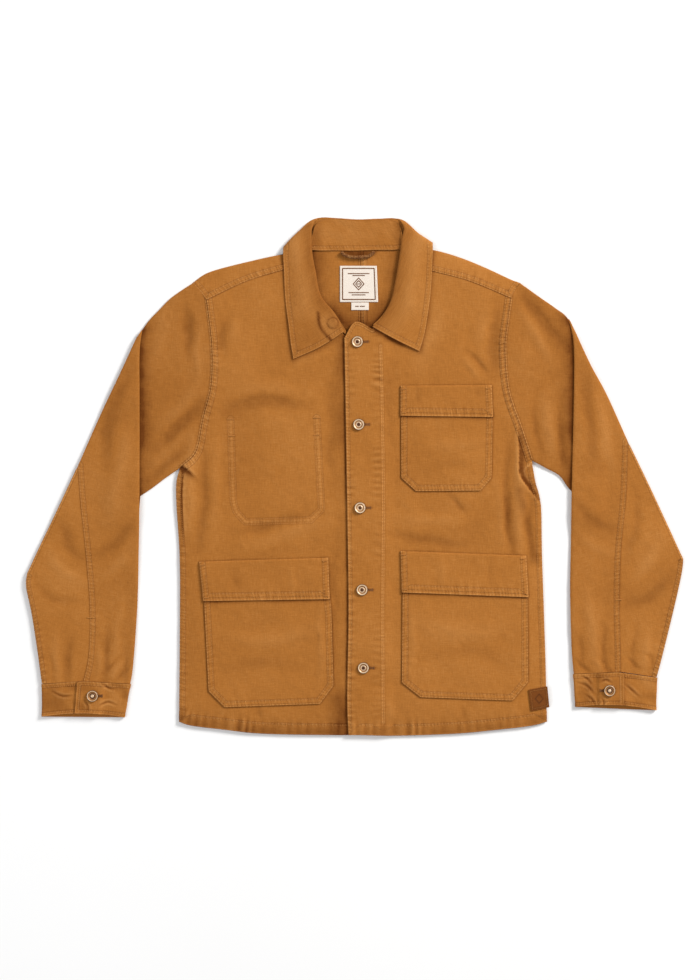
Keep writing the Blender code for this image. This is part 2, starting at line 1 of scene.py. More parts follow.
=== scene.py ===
# A canvas chore jacket lying flat, front up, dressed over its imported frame.
# Tables of cut edges are millimetres in plan; everything becomes metres when a mesh is made.
import math

import bpy
import numpy as np
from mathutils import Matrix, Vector


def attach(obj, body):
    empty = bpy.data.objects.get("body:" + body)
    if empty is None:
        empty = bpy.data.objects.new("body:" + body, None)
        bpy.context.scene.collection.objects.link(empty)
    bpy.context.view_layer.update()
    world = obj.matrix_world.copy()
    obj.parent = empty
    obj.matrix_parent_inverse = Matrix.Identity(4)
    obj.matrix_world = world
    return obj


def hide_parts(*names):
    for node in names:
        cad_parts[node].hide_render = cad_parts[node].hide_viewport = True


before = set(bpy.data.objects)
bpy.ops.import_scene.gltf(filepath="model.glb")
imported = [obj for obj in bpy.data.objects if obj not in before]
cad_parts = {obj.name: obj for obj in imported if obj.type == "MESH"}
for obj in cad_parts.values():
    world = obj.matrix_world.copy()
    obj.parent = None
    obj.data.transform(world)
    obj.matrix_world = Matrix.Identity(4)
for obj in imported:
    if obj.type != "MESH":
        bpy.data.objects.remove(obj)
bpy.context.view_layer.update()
mm = 0.001

# Curves and patches.


def through(points, params):
    # Catmull-Rom through points of any shape, at parameters counted in points
    points = np.asarray(points, float)
    if len(points) == 2:
        share = np.asarray(params, float).reshape((-1,) + (1,) * (points.ndim - 1))
        return points[0] + (points[1] - points[0]) * share
    padded = np.concatenate([points[:1], points, points[-1:]])
    params = np.clip(np.asarray(params, float), 0, len(points) - 1)
    index = np.minimum(params.astype(int), len(points) - 2)
    t = (params - index).reshape((-1,) + (1,) * (points.ndim - 1))
    a, b, c, d = (padded[index + k] for k in range(4))
    return (
        a * (-t + 2 * t**2 - t**3) / 2
        + b * (2 - 5 * t**2 + 3 * t**3) / 2
        + c * (t + 4 * t**2 - 3 * t**3) / 2
        + d * (-(t**2) + t**3) / 2
    )


def evenly(line, count):
    # the line cut into this many equal lengths
    line = np.asarray(line, float)
    run = runAlong(line)
    spots = np.linspace(0, run[-1], count + 1)
    return np.stack([np.interp(spots, run, line[:, i]) for i in range(line.shape[1])], axis=1)


def curve(points, step=2.0):
    # a smooth line through the points, sampled every few millimetres
    points = np.asarray(points, float)
    dense = through(points, np.linspace(0, len(points) - 1, 12 * (len(points) - 1) + 1))
    return evenly(dense, max(2, int(round(lengthOf(dense) / step))))


def edgeOf(*runs):
    # one edge of a patch, as runs of (points, cells) joined at corners
    line = [np.asarray(runs[0][0][:1], float)]
    for points, cells in runs:
        dense = through(points, np.linspace(0, len(points) - 1, 12 * (len(points) - 1) + 1))
        line.append(evenly(dense, cells * 6)[1:])
    return np.concatenate(line)


def along(line, shares):
    place = np.clip(shares, 0, 1) * (len(line) - 1)
    index = np.minimum(place.astype(int), len(line) - 2)
    return line[index] + (line[index + 1] - line[index]) * (place - index)[:, None]


def coons(edges, u, v):
    bottom, top, left, right = edges
    low, high = along(bottom, u)[None], along(top, u)[None]
    start, end = along(left, v)[:, None], along(right, v)[:, None]
    uu, vv = u[None, :, None], v[:, None, None]
    corners = (1 - uu) * (1 - vv) * bottom[0] + uu * (1 - vv) * bottom[-1]
    corners = corners + (1 - uu) * vv * top[0] + uu * vv * top[-1]
    return (1 - vv) * low + vv * high + (1 - uu) * start + uu * end - corners


def quad(corners):
    # the four edges of a piece with straight sides
    a, b, c, d = corners
    return [edgeOf((pair, 12)) for pair in ((a, b), (d, c), (a, d), (b, c))]


def shares(length, pitch, dense, coarse, denseStart, denseEnd):
    # shares of a length, close together near the ends that carry seams, in a multiple of coarse steps
    fine, reach = dense
    spots = [0.0]
    while spots[-1] < length:
        near = (denseStart and spots[-1] < reach) or (denseEnd and length - spots[-1] < reach)
        spots.append(spots[-1] + (fine if near else pitch))
    spots = np.array(spots)
    count = max(coarse, int(math.ceil((len(spots) - 1) / coarse)) * coarse)
    spots = np.interp(np.linspace(0, len(spots) - 1, count + 1), np.arange(len(spots)), spots)
    return spots / spots[-1]


def bell(value, width):
    return np.exp(-((value / width) ** 2))


def lengthOf(line):
    return np.linalg.norm(np.diff(line, axis=0), axis=1).sum()


def runAlong(line):
    # the distance from a line's start to each of its points
    return np.concatenate([[0], np.cumsum(np.linalg.norm(np.diff(line, axis=0), axis=1))])


def ramp(value, start, end):
    t = np.clip((np.asarray(value, float) - start) / (end - start), 0, 1)
    return t * t * (3 - 2 * t)


def nearLine(line, x, y, reach=40.0):
    # distance to a line in plan and the run along it, for arrays of points
    line = np.asarray(line, float)[:, :2]
    flatX, flatY = np.ravel(x), np.ravel(y)
    best, run = np.full(flatX.size, 1e3), np.zeros(flatX.size)
    low, high = line.min(0) - reach, line.max(0) + reach
    inside = np.nonzero((flatX > low[0]) & (flatX < high[0]) & (flatY > low[1]) & (flatY < high[1]))[0]
    px, py = flatX[inside], flatY[inside]
    away, at, start = np.full(px.size, 1e3), np.zeros(px.size), 0.0
    for (ax, ay), (bx, by) in zip(line[:-1], line[1:]):
        dx, dy = bx - ax, by - ay
        span = math.hypot(dx, dy)
        if span < 1e-6:
            continue
        t = np.clip(((px - ax) * dx + (py - ay) * dy) / span**2, 0, 1)
        gap = np.hypot(px - ax - t * dx, py - ay - t * dy)
        closer = gap < away
        away[closer], at[closer] = gap[closer], (start + t * span)[closer]
        start += span
    best[inside], run[inside] = away, at
    return best.reshape(np.shape(x)), run.reshape(np.shape(x))


def softNoise(x, y, size, seed):
    # smooth value noise from -1 to 1, the same on every run
    table = np.random.default_rng(seed).uniform(-1, 1, (64, 64))
    gx, gy = np.asarray(x, float) / size, np.asarray(y, float) / size
    ix, iy = np.floor(gx).astype(int), np.floor(gy).astype(int)
    fx, fy = gx - ix, gy - iy
    fx, fy = fx * fx * (3 - 2 * fx), fy * fy * (3 - 2 * fy)
    a, b = table[ix % 64, iy % 64], table[(ix + 1) % 64, iy % 64]
    c, d = table[ix % 64, (iy + 1) % 64], table[(ix + 1) % 64, (iy + 1) % 64]
    return (a * (1 - fx) + b * fx) * (1 - fy) + (c * (1 - fx) + d * fx) * fy


def shifted(line, away, towards):
    # a line moved sideways by this much, to the side where the point towards lies
    line = np.asarray(line, float)[:, :2]
    slope = np.gradient(line, axis=0)
    normal = np.stack([-slope[:, 1], slope[:, 0]], 1) / np.linalg.norm(slope, axis=1)[:, None]
    middle = len(line) // 2
    if np.dot(normal[middle], np.asarray(towards, float) - line[middle]) < 0:
        normal = -normal
    return line + normal * away


# The heights of the cloth, in millimetres above the table.

cloth = {
    "wall": 1.2,  # one ply of canvas
    "doubled": 1.6,  # collar and cuffs
    "gap": 0.4,
    "fill": 2.8,  # how far the front stands off the back
    "fillEdge": 46.0,
    "sleevePuff": 2.1,
    "collarUnderlay": 2.2,
    "undulation": 0.95,
    "rimBulge": 0.2,
    "rise": 1.45,  # of every crease, as a share of what its row says
}
floorLevel = cloth["wall"] / 2
topLevel = cloth["wall"] * 1.5 + cloth["gap"]
plyStep = cloth["wall"] + cloth["gap"]

# Creases of the body and sleeve heads: x and y of each point, half width, rise (negative in a trough).
bodyCreases = (
    (-192, 101, -162, 113, -123, 116, -63, 107, 11, -1.1),
    (-183, 127, -126, 131, -72, 124, 10, 0.6),
    (-198, 238, -200, 208, -194, 178, 10, -0.9),
    (-182, 241, -183, 197, 8, 0.5),
    (212, 259, 210, 205, 214, 151, 9, -1.0),
    (195, 250, 192, 197, 9, 0.6),
    (174, 190, 188, 178, 200, 155, 4.5, -0.9),
    (164, 181, 177, 166, 186, 148, 5, 0.5),
    (129, 265, 111, 205, 92, 148, 14, 0.8),
    (58, 187, 51, 115, 54, 40, 8, -0.5),
    (142, -26, 154, -38, 165, -50, 4.5, -0.8),
    (54, -80, 99, -95, 162, -104, 8, -0.8),
    (62, -58, 114, -67, 174, -64, 9, 0.6),
    (248, 67, 250, 10, 249, -125, 8, 1.2),
    (230, 47, 231, -35, 236, -115, 6, -0.9),
    (264, -35, 266, -95, 262, -140, 6, -0.8),
    (216, -14, 224, -65, 219, -113, 6, 0.5),
    (-243, 73, -248, 10, -246, -95, 8, 1.1),
    (-226, 55, -225, -35, -231, -113, 7, -0.7),
    (-208, 70, -207, -5, -213, -95, 9, 0.5),
    (-164, -100, -111, -92, -36, -68, 10, 0.8),
    (-183, -83, -126, -77, -54, -53, 8, -0.6),
    (-28, 175, -34, 85, -30, -35, 9, -0.6),
    (-24, -65, -32, -155, -27, -320, 7, -0.6),
    (-96, 157, -81, 172, -48, 187, 8, 0.6),
    (-252, 256, -250, 220, -249, 178, 8, -1.1),
    (-237, 232, -234, 190, -231, 145, 6, 0.6),
    (-297, 37, -268, 67, -231, 112, 9, -1.0),
    (-291, 70, -264, 100, -237, 145, 9, 0.7),
    (-306, -2, -279, 22, -246, 46, 7, -0.8),
    (-306, 16, -282, 40, -249, 64, 6, 0.6),
    (-273, 265, -291, 220, -306, 160, 10, 0.6),
    (255, 271, 282, 238, 321, 190, 9, -1.1),
    (248, 250, 267, 217, 297, 166, 8, 0.8),
    (286, 121, 292, 77, 298, 28, 8, 0.9),
    (270, 112, 274, 70, 285, 28, 6, -0.8),
    (310, 115, 312, 55, 318, -5, 7, -0.9),
    (-198, -359, -189, -335, 5, 0.5),
    (-141, -368, -144, -344, 5, -0.5),
    (162, -368, 165, -341, 5, -0.5),
    (237, -359, 240, -341, 5, 0.5),
    (54, -368, 51, -335, 6, 0.5),
)
# Creases of the sleeves from the folds down to the cuffs.
sleeveCreases = (
    (-339, 160, -366, 85, -375, 10, 10, -0.8),
    (-336, 85, -354, 10, -366, -65, 10, 0.7),
    (-333, -65, -354, -95, -384, -113, 8, -0.8),
    (-336, -107, -357, -134, -386, -152, 8, 0.7),
    (-441, -65, -423, -103, -405, -125, 8, -0.8),
    (-459, -103, -438, -140, -408, -161, 9, 0.8),
    (-477, -155, -453, -179, -411, -191, 8, -0.7),
    (-351, -185, -357, -245, -363, -308, 6, 0.7),
    (-370, -227, -372, -268, -375, -311, 4.5, -0.9),
    (-386, -245, -384, -275, -386, -308, 4, 0.6),
    (-426, -239, -432, -275, -429, -311, 5, -0.8),
    (-446, -230, -447, -275, -441, -311, 6, 0.8),
    (-344, -260, -348, -308, 4, -0.6),
    (342, 166, 357, 85, 363, 10, 10, -0.9),
    (366, 115, 378, 55, 387, -5, 9, 0.8),
    (336, -35, 357, -65, 390, -77, 8, -0.8),
    (336, -80, 360, -107, 393, -119, 8, 0.6),
    (429, -35, 420, -80, 411, -125, 8, -0.7),
    (462, -95, 438, -134, 411, -155, 9, 0.9),
    (477, -148, 447, -179, 411, -191, 8, -0.8),
    (354, -170, 357, -230, 363, -293, 7, 0.8),
    (375, -223, 374, -260, 378, -293, 4, -0.8),
    (339, -230, 342, -268, 345, -296, 4.5, -0.7),
    (423, -218, 417, -260, 420, -296, 5, -0.8),
    (369, -275, 378, -287, 386, -296, 2.4, -0.9),
    (360, -278, 369, -290, 375, -299, 2.6, 0.7),
    (333, -278, 345, -289, 360, -295, 2.4, -0.8),
    (408, -269, 420, -281, 432, -289, 2.4, -0.9),
    (429, -263, 444, -275, 447, -290, 2.4, -0.8),
    (-354, -266, -364, -283, -380, -298, 2.4, -0.9),
    (-345, -269, -356, -286, -369, -302, 2.6, 0.8),
    (-339, -281, -351, -296, -363, -308, 2.2, -0.7),
    (-432, -269, -426, -287, -423, -305, 2.4, -0.9),
    (-456, -266, -450, -284, -452, -304, 2.2, -0.6),
    (441, -230, 435, -268, 435, -299, 5, 0.8),
)


def creaseRise(creases, x, y):
    warpX = x + 4 * softNoise(x, y, 38, 11) + 1.5 * softNoise(x, y, 13, 12)
    warpY = y + 4 * softNoise(x, y, 38, 13) + 1.5 * softNoise(x, y, 13, 14)
    total = np.zeros(np.shape(x))
    for *points, width, rise in creases:
        line = curve(np.reshape(points, (-1, 2)), 12)
        away, run = nearLine(line, warpX, warpY, width * 3)
        taper = 0.25 + 0.75 * np.sin(np.pi * np.clip(run / lengthOf(line), 0.04, 0.96))
        total += cloth["rise"] * rise * taper * bell(away, width)
    return total


def swell(x, y):
    return (
        softNoise(x, y, 85, 21)
        + 0.6 * softNoise(x, y, 44, 22)
        + 0.32 * softNoise(x, y, 21, 23)
        + 0.14 * softNoise(x, y, 10, 24)
    )


def underlay(x, y):
    # what the collar, turned down behind the neck, lifts
    return cloth["collarUnderlay"] * (1 - ramp(np.abs(x - 6), 112, 240)) * ramp(y, 190, 305)


def backLevel(x, y):
    return floorLevel + underlay(x, y)


def frontLevel(x, y):
    fill = cloth["fill"] * (1 - ramp(np.abs(x - 9), 274 - cloth["fillEdge"], 304)) * ramp(y, -398, -345)
    head = 1.1 * ramp(np.abs(x - 9), 240, 300) * ramp(y, -30, 60) * (1 - 0.7 * ramp(y, 240, 285))
    body = fill + head
    calm = np.clip(0.35 + body / cloth["fill"], 0, 1.1)
    neck = ramp(np.hypot((x - 6) / 1.15, y - 245), 95, 150)
    relief = creaseRise(bodyCreases, x, y) + cloth["undulation"] * swell(x, y)
    return topLevel + underlay(x, y) + body + np.maximum(-0.3 - 0.8 * body,
        calm * relief * (0.25 + 0.75 * neck))


def lapLevel(x, y):
    # the left front laps over the right one along the button edge
    return frontLevel(x, y) + (plyStep + 0.5) * (1 - ramp(x, 40, 64))


def sleeveLevel(x, y):
    over = (1 - ramp(np.abs(x), 357, 385)) * ramp(y, -95, -54)
    puff = cloth["sleevePuff"] * (0.75 + 0.25 * softNoise(x, y, 60, 31))
    relief = creaseRise(sleeveCreases, x, y) + cloth["undulation"] * swell(x, y)
    return topLevel + 0.3 + puff + (plyStep + 0.9) * over + np.maximum(-puff, 0.9 * relief)


def underLevel(x, y):
    return np.full(np.shape(x), floorLevel)


# Seams: a raised felled band beside an edge, its puckers, its rows of stitches and its wear.

seamKinds = {
    # width of the felled band, its rise, its slow puckers and their wave, and where its rows of stitches run
    "felled": {"width": 7.4, "rise": 0.6, "pucker": 0.26, "wave": 12.0, "rows": (1.6, 6.4)},
    "edge": {"width": 6.0, "rise": 0.55, "pucker": 0.3, "wave": 10.0, "rows": (1.6, 5.0)},
    "topstitch": {"width": 7.2, "rise": 0.3, "pucker": 0.12, "wave": 13.0, "rows": (6.4,)},
    "single": {"width": 7.0, "rise": 0.4, "pucker": 0.16, "wave": 12.0, "rows": (1.4, 6.2)},
    "hem": {"width": 16.4, "rise": 0.6, "pucker": 0.75, "wave": 15.0, "rows": (15.0,)},
    "facing": {"width": 4.6, "rise": 0.3, "pucker": 0.22, "wave": 12.0, "rows": (3.4,)},
    "mouth": {"width": 11.4, "rise": 0.35, "pucker": 0.2, "wave": 14.0, "rows": (4.4, 10.4)},
    "row": {"width": 2.2, "rise": 0.12, "pucker": 0.12, "wave": 12.0, "rows": (0.9,)},
    "plain": {"width": 2.4, "rise": 0.0, "pucker": 0.1, "wave": 11.0, "rows": ()},
}


def seamRelief(seams, x, y):
    # for a list of (line, kind, strength): the lift in millimetres, a field of the nearest seam that the
    # finish reads (run along it, distance from it, strength, width of its band, its two rows) and the puckers
    lift, waves = np.zeros(np.shape(x)), np.zeros(np.shape(x))
    field = np.zeros((*np.shape(x), 6))
    field[..., 1] = 99.0
    for order, (line, kind, strength) in enumerate(seams):
        size = seamKinds[kind]
        width = size["width"]
        away, run = nearLine(line, x, y, width + 16)
        wobble = softNoise(run, away * 0 + order * 7.3, 23, 41 + order)
        phase = 2 * np.pi * run / size["wave"] + 3.4 * wobble
        band = 1 - ramp(away, width - 0.8, width + 0.8)
        reach = np.exp(-np.maximum(0, away - width) / 5.0) * (away < width + 16)
        ripple = (0.5 + 0.5 * softNoise(run, away * 0, 31, 61 + order)) * np.sin(phase)
        lift += strength * (size["rise"] * band + size["pucker"] * ripple * reach * ramp(away, -0.5, 1.6))
        waves += strength * min(1.0, 2.4 * size["pucker"]) * ripple * reach
        for row in size["rows"]:
            lift -= strength * 0.16 * bell(away - row, 1.1)
        nearer = away < np.minimum(field[..., 1], width + 12)
        rows = (*size["rows"], 99.0, 99.0)[:2]
        fade = strength * (1 - ramp(away, width + 4, width + 12))
        values = np.stack([run + 211.0 * order, away, fade, away * 0 + width, away * 0 + rows[0],
            away * 0 + rows[1]], axis=-1)
        field = np.where(nearer[..., None], values, field)
    return lift, field, waves


# Turning grids into sheets.


def gridNormals(points):
    across = np.gradient(points, axis=1)
    down = np.gradient(points, axis=0)
    normal = np.cross(across, down)
    return normal / np.maximum(np.linalg.norm(normal, axis=2), 1e-9)[..., None]


def stitchedTop(points, lift):
    # where the stitches of a doubled band lie, just clear of its face
    return points + gridNormals(points) * (cloth["doubled"] / 2 + lift + 0.1)[..., None]


def ringOf(rows, columns):
    # the grid's outline as (row, column) pairs, once round
    ring = [(0, c) for c in range(columns)]
    ring += [(r, columns - 1) for r in range(1, rows)]
    ring += [(rows - 1, c) for c in range(columns - 2, -1, -1)]
    return ring + [(r, 0) for r in range(rows - 2, 0, -1)]


def addObject(name, vertices, faces, material):
    mesh = bpy.data.meshes.new(name)
    mesh.from_pydata(np.asarray(vertices, float) * mm, [], faces)
    mesh.materials.append(material)
    obj = bpy.data.objects.new(name, mesh)
    bpy.context.scene.collection.objects.link(obj)
    return obj


def sheetFrom(name, points, cut, wall, material, lift, field, pale, dark, coarse=3, facesUp=True,
    underside=0.0):
    # a closed sheet from a grid: a fine face, a coarser back and a rounded rim, with its cut as UVs
    rows, columns = points.shape[:2]
    normal = gridNormals(points)
    if facesUp and normal[rows // 2, columns // 2, 2] < 0:
        raise ValueError(f"{name} faces down")
    top = points + normal * (wall / 2 + lift)[..., None]
    under = (points - normal * wall / 2)[::coarse, ::coarse]
    ring = ringOf(rows, columns)
    low = ringOf(*under.shape[:2])
    rim = []
    for r, c in ring:
        inner = points[min(max(r, 1), rows - 2), min(max(c, 1), columns - 2)]
        outwards = points[r, c] - inner
        size = np.linalg.norm(outwards)
        rim.append(points[r, c] + cloth["rimBulge"] * outwards / max(size, 1e-6))
    vertices = np.concatenate([top.reshape(-1, 3), under.reshape(-1, 3), np.array(rim)])
    upper = np.arange(rows * columns).reshape(rows, columns)
    faces = np.stack([upper[:-1, :-1], upper[:-1, 1:], upper[1:, 1:], upper[1:, :-1]], -1).reshape(-1, 4)
    base = rows * columns
    lower = base + np.arange(under.shape[0] * under.shape[1]).reshape(under.shape[:2])
    back = np.stack([lower[:-1, :-1], lower[1:, :-1], lower[1:, 1:], lower[:-1, 1:]], -1).reshape(-1, 4)
    faces = [tuple(face) for face in faces.tolist()] + [tuple(face) for face in back.tolist()]
    first = base + under.shape[0] * under.shape[1]
    count = len(ring)
    for k in range(count):
        a, b = ring[k], ring[(k + 1) % count]
        faces.append((int(upper[b]), int(upper[a]), first + k, first + (k + 1) % count))
    for k in range(len(low)):
        a, b = low[k], low[(k + 1) % len(low)]
        strip = [first + (k * coarse + j) % count for j in range(coarse, -1, -1)]
        faces.append((*strip, int(lower[a]), int(lower[b])))
    obj = addObject(name, vertices, faces, material)
    mesh = obj.data
    flatRim = np.array([cut[r, c] for r, c in ring])
    flat = np.concatenate([cut.reshape(-1, 2), cut[::coarse, ::coarse].reshape(-1, 2), flatRim]) * mm
    corner = np.empty(len(mesh.loops), np.int32)
    mesh.loops.foreach_get("vertex_index", corner)
    mesh.uv_layers.new(name="cut").data.foreach_set("uv", flat[corner].ravel())
    for label, values, wallValue in (("pale", pale, 0.1), ("dark", dark, 0.06)):
        values = np.clip(values, 0, 1)
        rimmed = np.array([values[r, c] for r, c in ring]) * 0.6 + wallValue
        spread = np.concatenate([values.ravel(), values[::coarse, ::coarse].ravel() * 0, rimmed])
        mesh.attributes.new(label, "FLOAT", "POINT").data.foreach_set("value", spread.astype(np.float32))
    low = field[::coarse, ::coarse].copy()
    low[..., 2] *= underside
    around = np.array([field[r, c] for r, c in ring])
    spread = np.concatenate([field.reshape(-1, 6), low.reshape(-1, 6), around])
    for label, part in (("seam", spread[:, :3]), ("seamRows", spread[:, 3:])):
        mesh.attributes.new(label, "FLOAT_VECTOR", "POINT").data.foreach_set("vector",
            part.astype(np.float32).ravel())
    mesh.shade_smooth()
    mesh.set_sharp_from_angle(angle=math.radians(62))
    return obj


def flatSize(points):
    # the cut's width, length and area in metres
    across = np.linalg.norm(points[:, 1:] - points[:, :-1], axis=2).sum(1).max()
    down = np.linalg.norm(points[1:] - points[:-1], axis=2).sum(0).max()
    a, b = points[1:, 1:] - points[:-1, :-1], points[1:, :-1] - points[:-1, 1:]
    a, b = (np.pad(side, ((0, 0), (0, 0), (0, 3 - side.shape[2]))) for side in (a, b))
    area = np.linalg.norm(np.cross(a, b), axis=2).sum() / 2
    return (round(across * mm, 4), round(down * mm, 4)), area * mm * mm


def tuckRelief(tuck, x, y):
    # a fold that stands over its dark side, with painted shade in the hollow and along the fold's edge and a
    # painted highlight on the standing side: rise, its slope back on the standing side, and the hollow's
    # reach
    line, towards, rise, slope, hollow = tuck
    away, run = nearLine(line, x, y, 60)
    ahead = nearLine(shifted(line, 0.5, towards), x, y, 60)[0]
    taper = np.sin(np.pi * np.clip(run / lengthOf(line[:, :2]), 0.02, 0.98)) ** 0.7
    standing = ahead < away
    lift = np.where(standing, rise * np.exp(-away / slope) * ramp(away, -0.6, 2.4),
        -0.35 * rise * np.exp(-away / hollow)) * taper
    dark = np.where(standing, 0.55 * bell(away, 0.8), 1.3 * bell(away, hollow)) * taper
    pale = np.where(standing, 0.3 * bell(away - 3, 2.5), 0) * taper
    return lift, pale, dark


pieces = {}


def declare(obj, node, slotName, flat, area, held="laid", restsOn=()):
    pieces[obj.name] = {"obj": obj, "node": node, "slot": slotName, "flat": flat}
    pieces[obj.name].update(area=min(area, flat[0] * flat[1]), held=held, restsOn=list(restsOn), on=[])
    return obj


def rolledDrop(away, radius, drop):
    # how far the middle of a sheet comes down where it turns over at a fold
    inside = np.clip(1 - away / radius, 0, 1)
    return drop * (1 - np.sqrt(1 - inside**2))


surfaces = {}  # how to find the top of each sheet again, for what is sewn on it


def makeSheet(node, edges, level, size):
    # one cut piece lying on the jacket
    bottom, top, left, right = edges
    width, length = (lengthOf(bottom) + lengthOf(top)) / 2, (lengthOf(left) + lengthOf(right)) / 2
    dense, coarse = size.get("dense", (1.1, 10.0)), size.get("coarse", 3)
    seamed = size.get("seamed", "lrbt")
    u = shares(width, size["pitch"], dense, coarse, "l" in seamed, "r" in seamed)
    v = shares(length, size["pitch"], dense, coarse, "b" in seamed, "t" in seamed)
    plan = coons(edges, u, v)
    planX, planY = plan[..., 0], plan[..., 1]
    seams, rolls, wall = size.get("seams", []), size.get("rolls", []), size.get("wall", cloth["wall"])

    def middle(x, y):
        z = level(x, y)
        for line, radius, drop in rolls:
            z = z - rolledDrop(nearLine(line, x, y, radius + 2)[0], radius, drop)
        return z

    def topOf(x, y):
        x, y = np.asarray(x, float), np.asarray(y, float)
        lift = seamRelief(seams, x, y)[0] * ("underside" not in size)
        for tuck in size.get("tucks", []):
            lift = lift + tuckRelief(tuck, x, y)[0]
        return middle(x, y) + wall / 2 + lift

    lift, field, waves = seamRelief(seams, planX, planY)
    underside = size.get("underside", 0.0)
    if underside:
        # these seams are seen from below only, so the top stays level for what lies on it
        lift, waves = 0 * lift, 0 * waves
    # painted highlight on crease crests and pucker tops and painted shade in their troughs, over the relief;
    # crests also lighter from rubbing; deepen darkens the whole piece evenly
    tone = size["tone"](planX, planY) if "tone" in size else 0 * lift
    pale = 0.16 * np.clip(tone, 0, 1.2) + 0.3 * np.clip(waves, 0, 1)
    dark = 0.3 * np.clip(-tone, 0, 1.1) + 0.42 * np.clip(-waves, 0, 1) + size.get("deepen", 0.0)
    # painted shadow along each line in shades
    for line, reach, strength in size.get("shades", []):
        away, run = nearLine(line, planX, planY, 3 * reach)
        dark += strength * (1 + 0.45 * softNoise(run, run * 0, 26, 47)) * bell(away, reach)
    for line, reach, strength in size.get("glints", []):
        away = nearLine(line, planX, planY, 3 * reach)[0]
        pale += strength * bell(away, reach)
    for tuck in size.get("tucks", []):
        more = tuckRelief(tuck, planX, planY)
        lift, pale, dark = lift + more[0], pale + more[1], dark + more[2]
    if "imprint" in size:
        more = size["imprint"](planX, planY)
        lift, pale, dark = lift + more[0], pale + more[1], dark + more[2]
    points = np.concatenate([plan, middle(planX, planY)[..., None]], axis=2)
    turn = math.radians(size.get("grain", 0))
    cosine, sine = math.cos(turn), math.sin(turn)
    cut = np.stack([planX * cosine + planY * sine, planY * cosine - planX * sine], axis=2)
    obj = sheetFrom(node + "_cloth", points, cut, wall, size.get("finish", canvas), lift, field, pale,
        dark, coarse, underside=underside)
    surfaces[node] = {"top": topOf, "seams": seams, "centre": plan.reshape(-1, 2).mean(0)}
    flat, area = flatSize(plan)
    return declare(obj, node, "canvas", flat, area, restsOn=size.get("restsOn", ()))


# Finishes.


def feed(tree, value, socket):
    # a socket takes a number as its own value, and anything else through a link
    value = getattr(value, "socket", value)
    if isinstance(value, bpy.types.NodeSocket):
        tree.links.new(value, socket)
    else:
        socket.default_value = value


def addNode(tree, kind, inputs=(), **settings):
    # a node with its settings and inputs, standing in columns in the order of making
    node = tree.nodes.new(kind)
    made = len(tree.nodes)
    node.location = (230 * (made // 7) - 900, 500 - 190 * (made % 7))
    for key, value in settings.items():
        setattr(node, key, value)
    for label, value in dict(inputs).items():
        feed(tree, value, node.inputs[label])
    return node


class Signal:
    # one shader number, so that a mask reads as a sum

    def __init__(self, tree, socket):
        self.tree, self.socket = tree, socket

    def join(self, operation, *values):
        node = addNode(self.tree, "ShaderNodeMath", enumerate(values), operation=operation)
        return Signal(self.tree, node.outputs[0])

    def __add__(self, other):
        return self.join("ADD", self, other)

    def __sub__(self, other):
        return self.join("SUBTRACT", self, other)

    def __rsub__(self, other):
        return self.join("SUBTRACT", other, self)

    def __mul__(self, other):
        return self.join("MULTIPLY", self, other)

    def __truediv__(self, other):
        return self.join("DIVIDE", self, other)

    def atLeast(self, other):
        return self.join("MAXIMUM", self, other)

    def atMost(self, other):
        return self.join("MINIMUM", self, other)

    def sine(self):
        return self.join("SINE", self)

    def parts(self):
        split = addNode(self.tree, "ShaderNodeSeparateXYZ", {0: self})
        return [Signal(self.tree, socket) for socket in split.outputs]


def shaderGroup(name, inputs, outputs):
    # an empty group: its tree, its inputs as signals, and its output node; a None input is a vector
    tree = bpy.data.node_groups.new(name, "ShaderNodeTree")
    kinds = {float: "NodeSocketFloat", tuple: "NodeSocketColor"}
    for label, default in inputs.items():
        kind = kinds.get(type(default), "NodeSocketVector")
        socket = tree.interface.new_socket(name=label, in_out="INPUT", socket_type=kind)
        if default is not None:
            socket.default_value = default
    for label in outputs:
        kind = "NodeSocketColor" if label == "Colour" else "NodeSocketFloat"
        tree.interface.new_socket(name=label, in_out="OUTPUT", socket_type=kind)
    given = addNode(tree, "NodeGroupInput")
    signals = {label: Signal(tree, given.outputs[label]) for label in inputs}
    return tree, signals, addNode(tree, "NodeGroupOutput")


def noiseNode(tree, vector, scale, detail, stretch=None, rough=0.55):
    if stretch:
        vector = addNode(tree, "ShaderNodeMapping", {"Vector": vector, "Scale": stretch}).outputs["Vector"]
    inputs = {"Vector": vector, "Scale": scale, "Detail": detail, "Roughness": rough}
    return Signal(tree, addNode(tree, "ShaderNodeTexNoise", inputs).outputs["Fac"])


def makeWeave():
    # crossing yarns with slubs: a height, and a fleck that varies from yarn to yarn
    inputs = {"Vector": None, "Yarns Per Metre": 1700.0, "Slub": 0.5}
    tree, given, out = shaderGroup("wovenYarns", inputs, ("Height", "Fleck"))
    across, up = given["Vector"].parts()[:2]
    turns = given["Yarns Per Metre"] * math.pi
    checker = (across * turns).sine() * (up * turns).sine()
    alongWarp = noiseNode(tree, given["Vector"], 1.0, 2.0, (900, 60, 1))
    alongWeft = noiseNode(tree, given["Vector"], 1.0, 2.0, (70, 820, 1))
    fleck = alongWarp + alongWeft - 1.0
    feed(tree, checker * 0.5 + 0.5 + fleck * given["Slub"], out.inputs["Height"])
    feed(tree, fleck, out.inputs["Fleck"])
    return tree


def makeDye():
    # clouds of garment dye and fine heather, centred on zero
    inputs = {"Vector": None, "Cloud": 0.5, "Heather": 0.4}
    tree, given, out = shaderGroup("dyeClouds", inputs, ("Shade", "Crumple"))
    broad = noiseNode(tree, given["Vector"], 9.0, 3.0)
    fine = noiseNode(tree, given["Vector"], 420.0, 4.0, rough=0.7)
    crumple = noiseNode(tree, given["Vector"], 62.0, 4.0, rough=0.5)
    feed(tree, (broad - 0.5) * given["Cloud"] + (fine - 0.5) * given["Heather"], out.inputs["Shade"])
    feed(tree, crumple, out.inputs["Crumple"])
    return tree


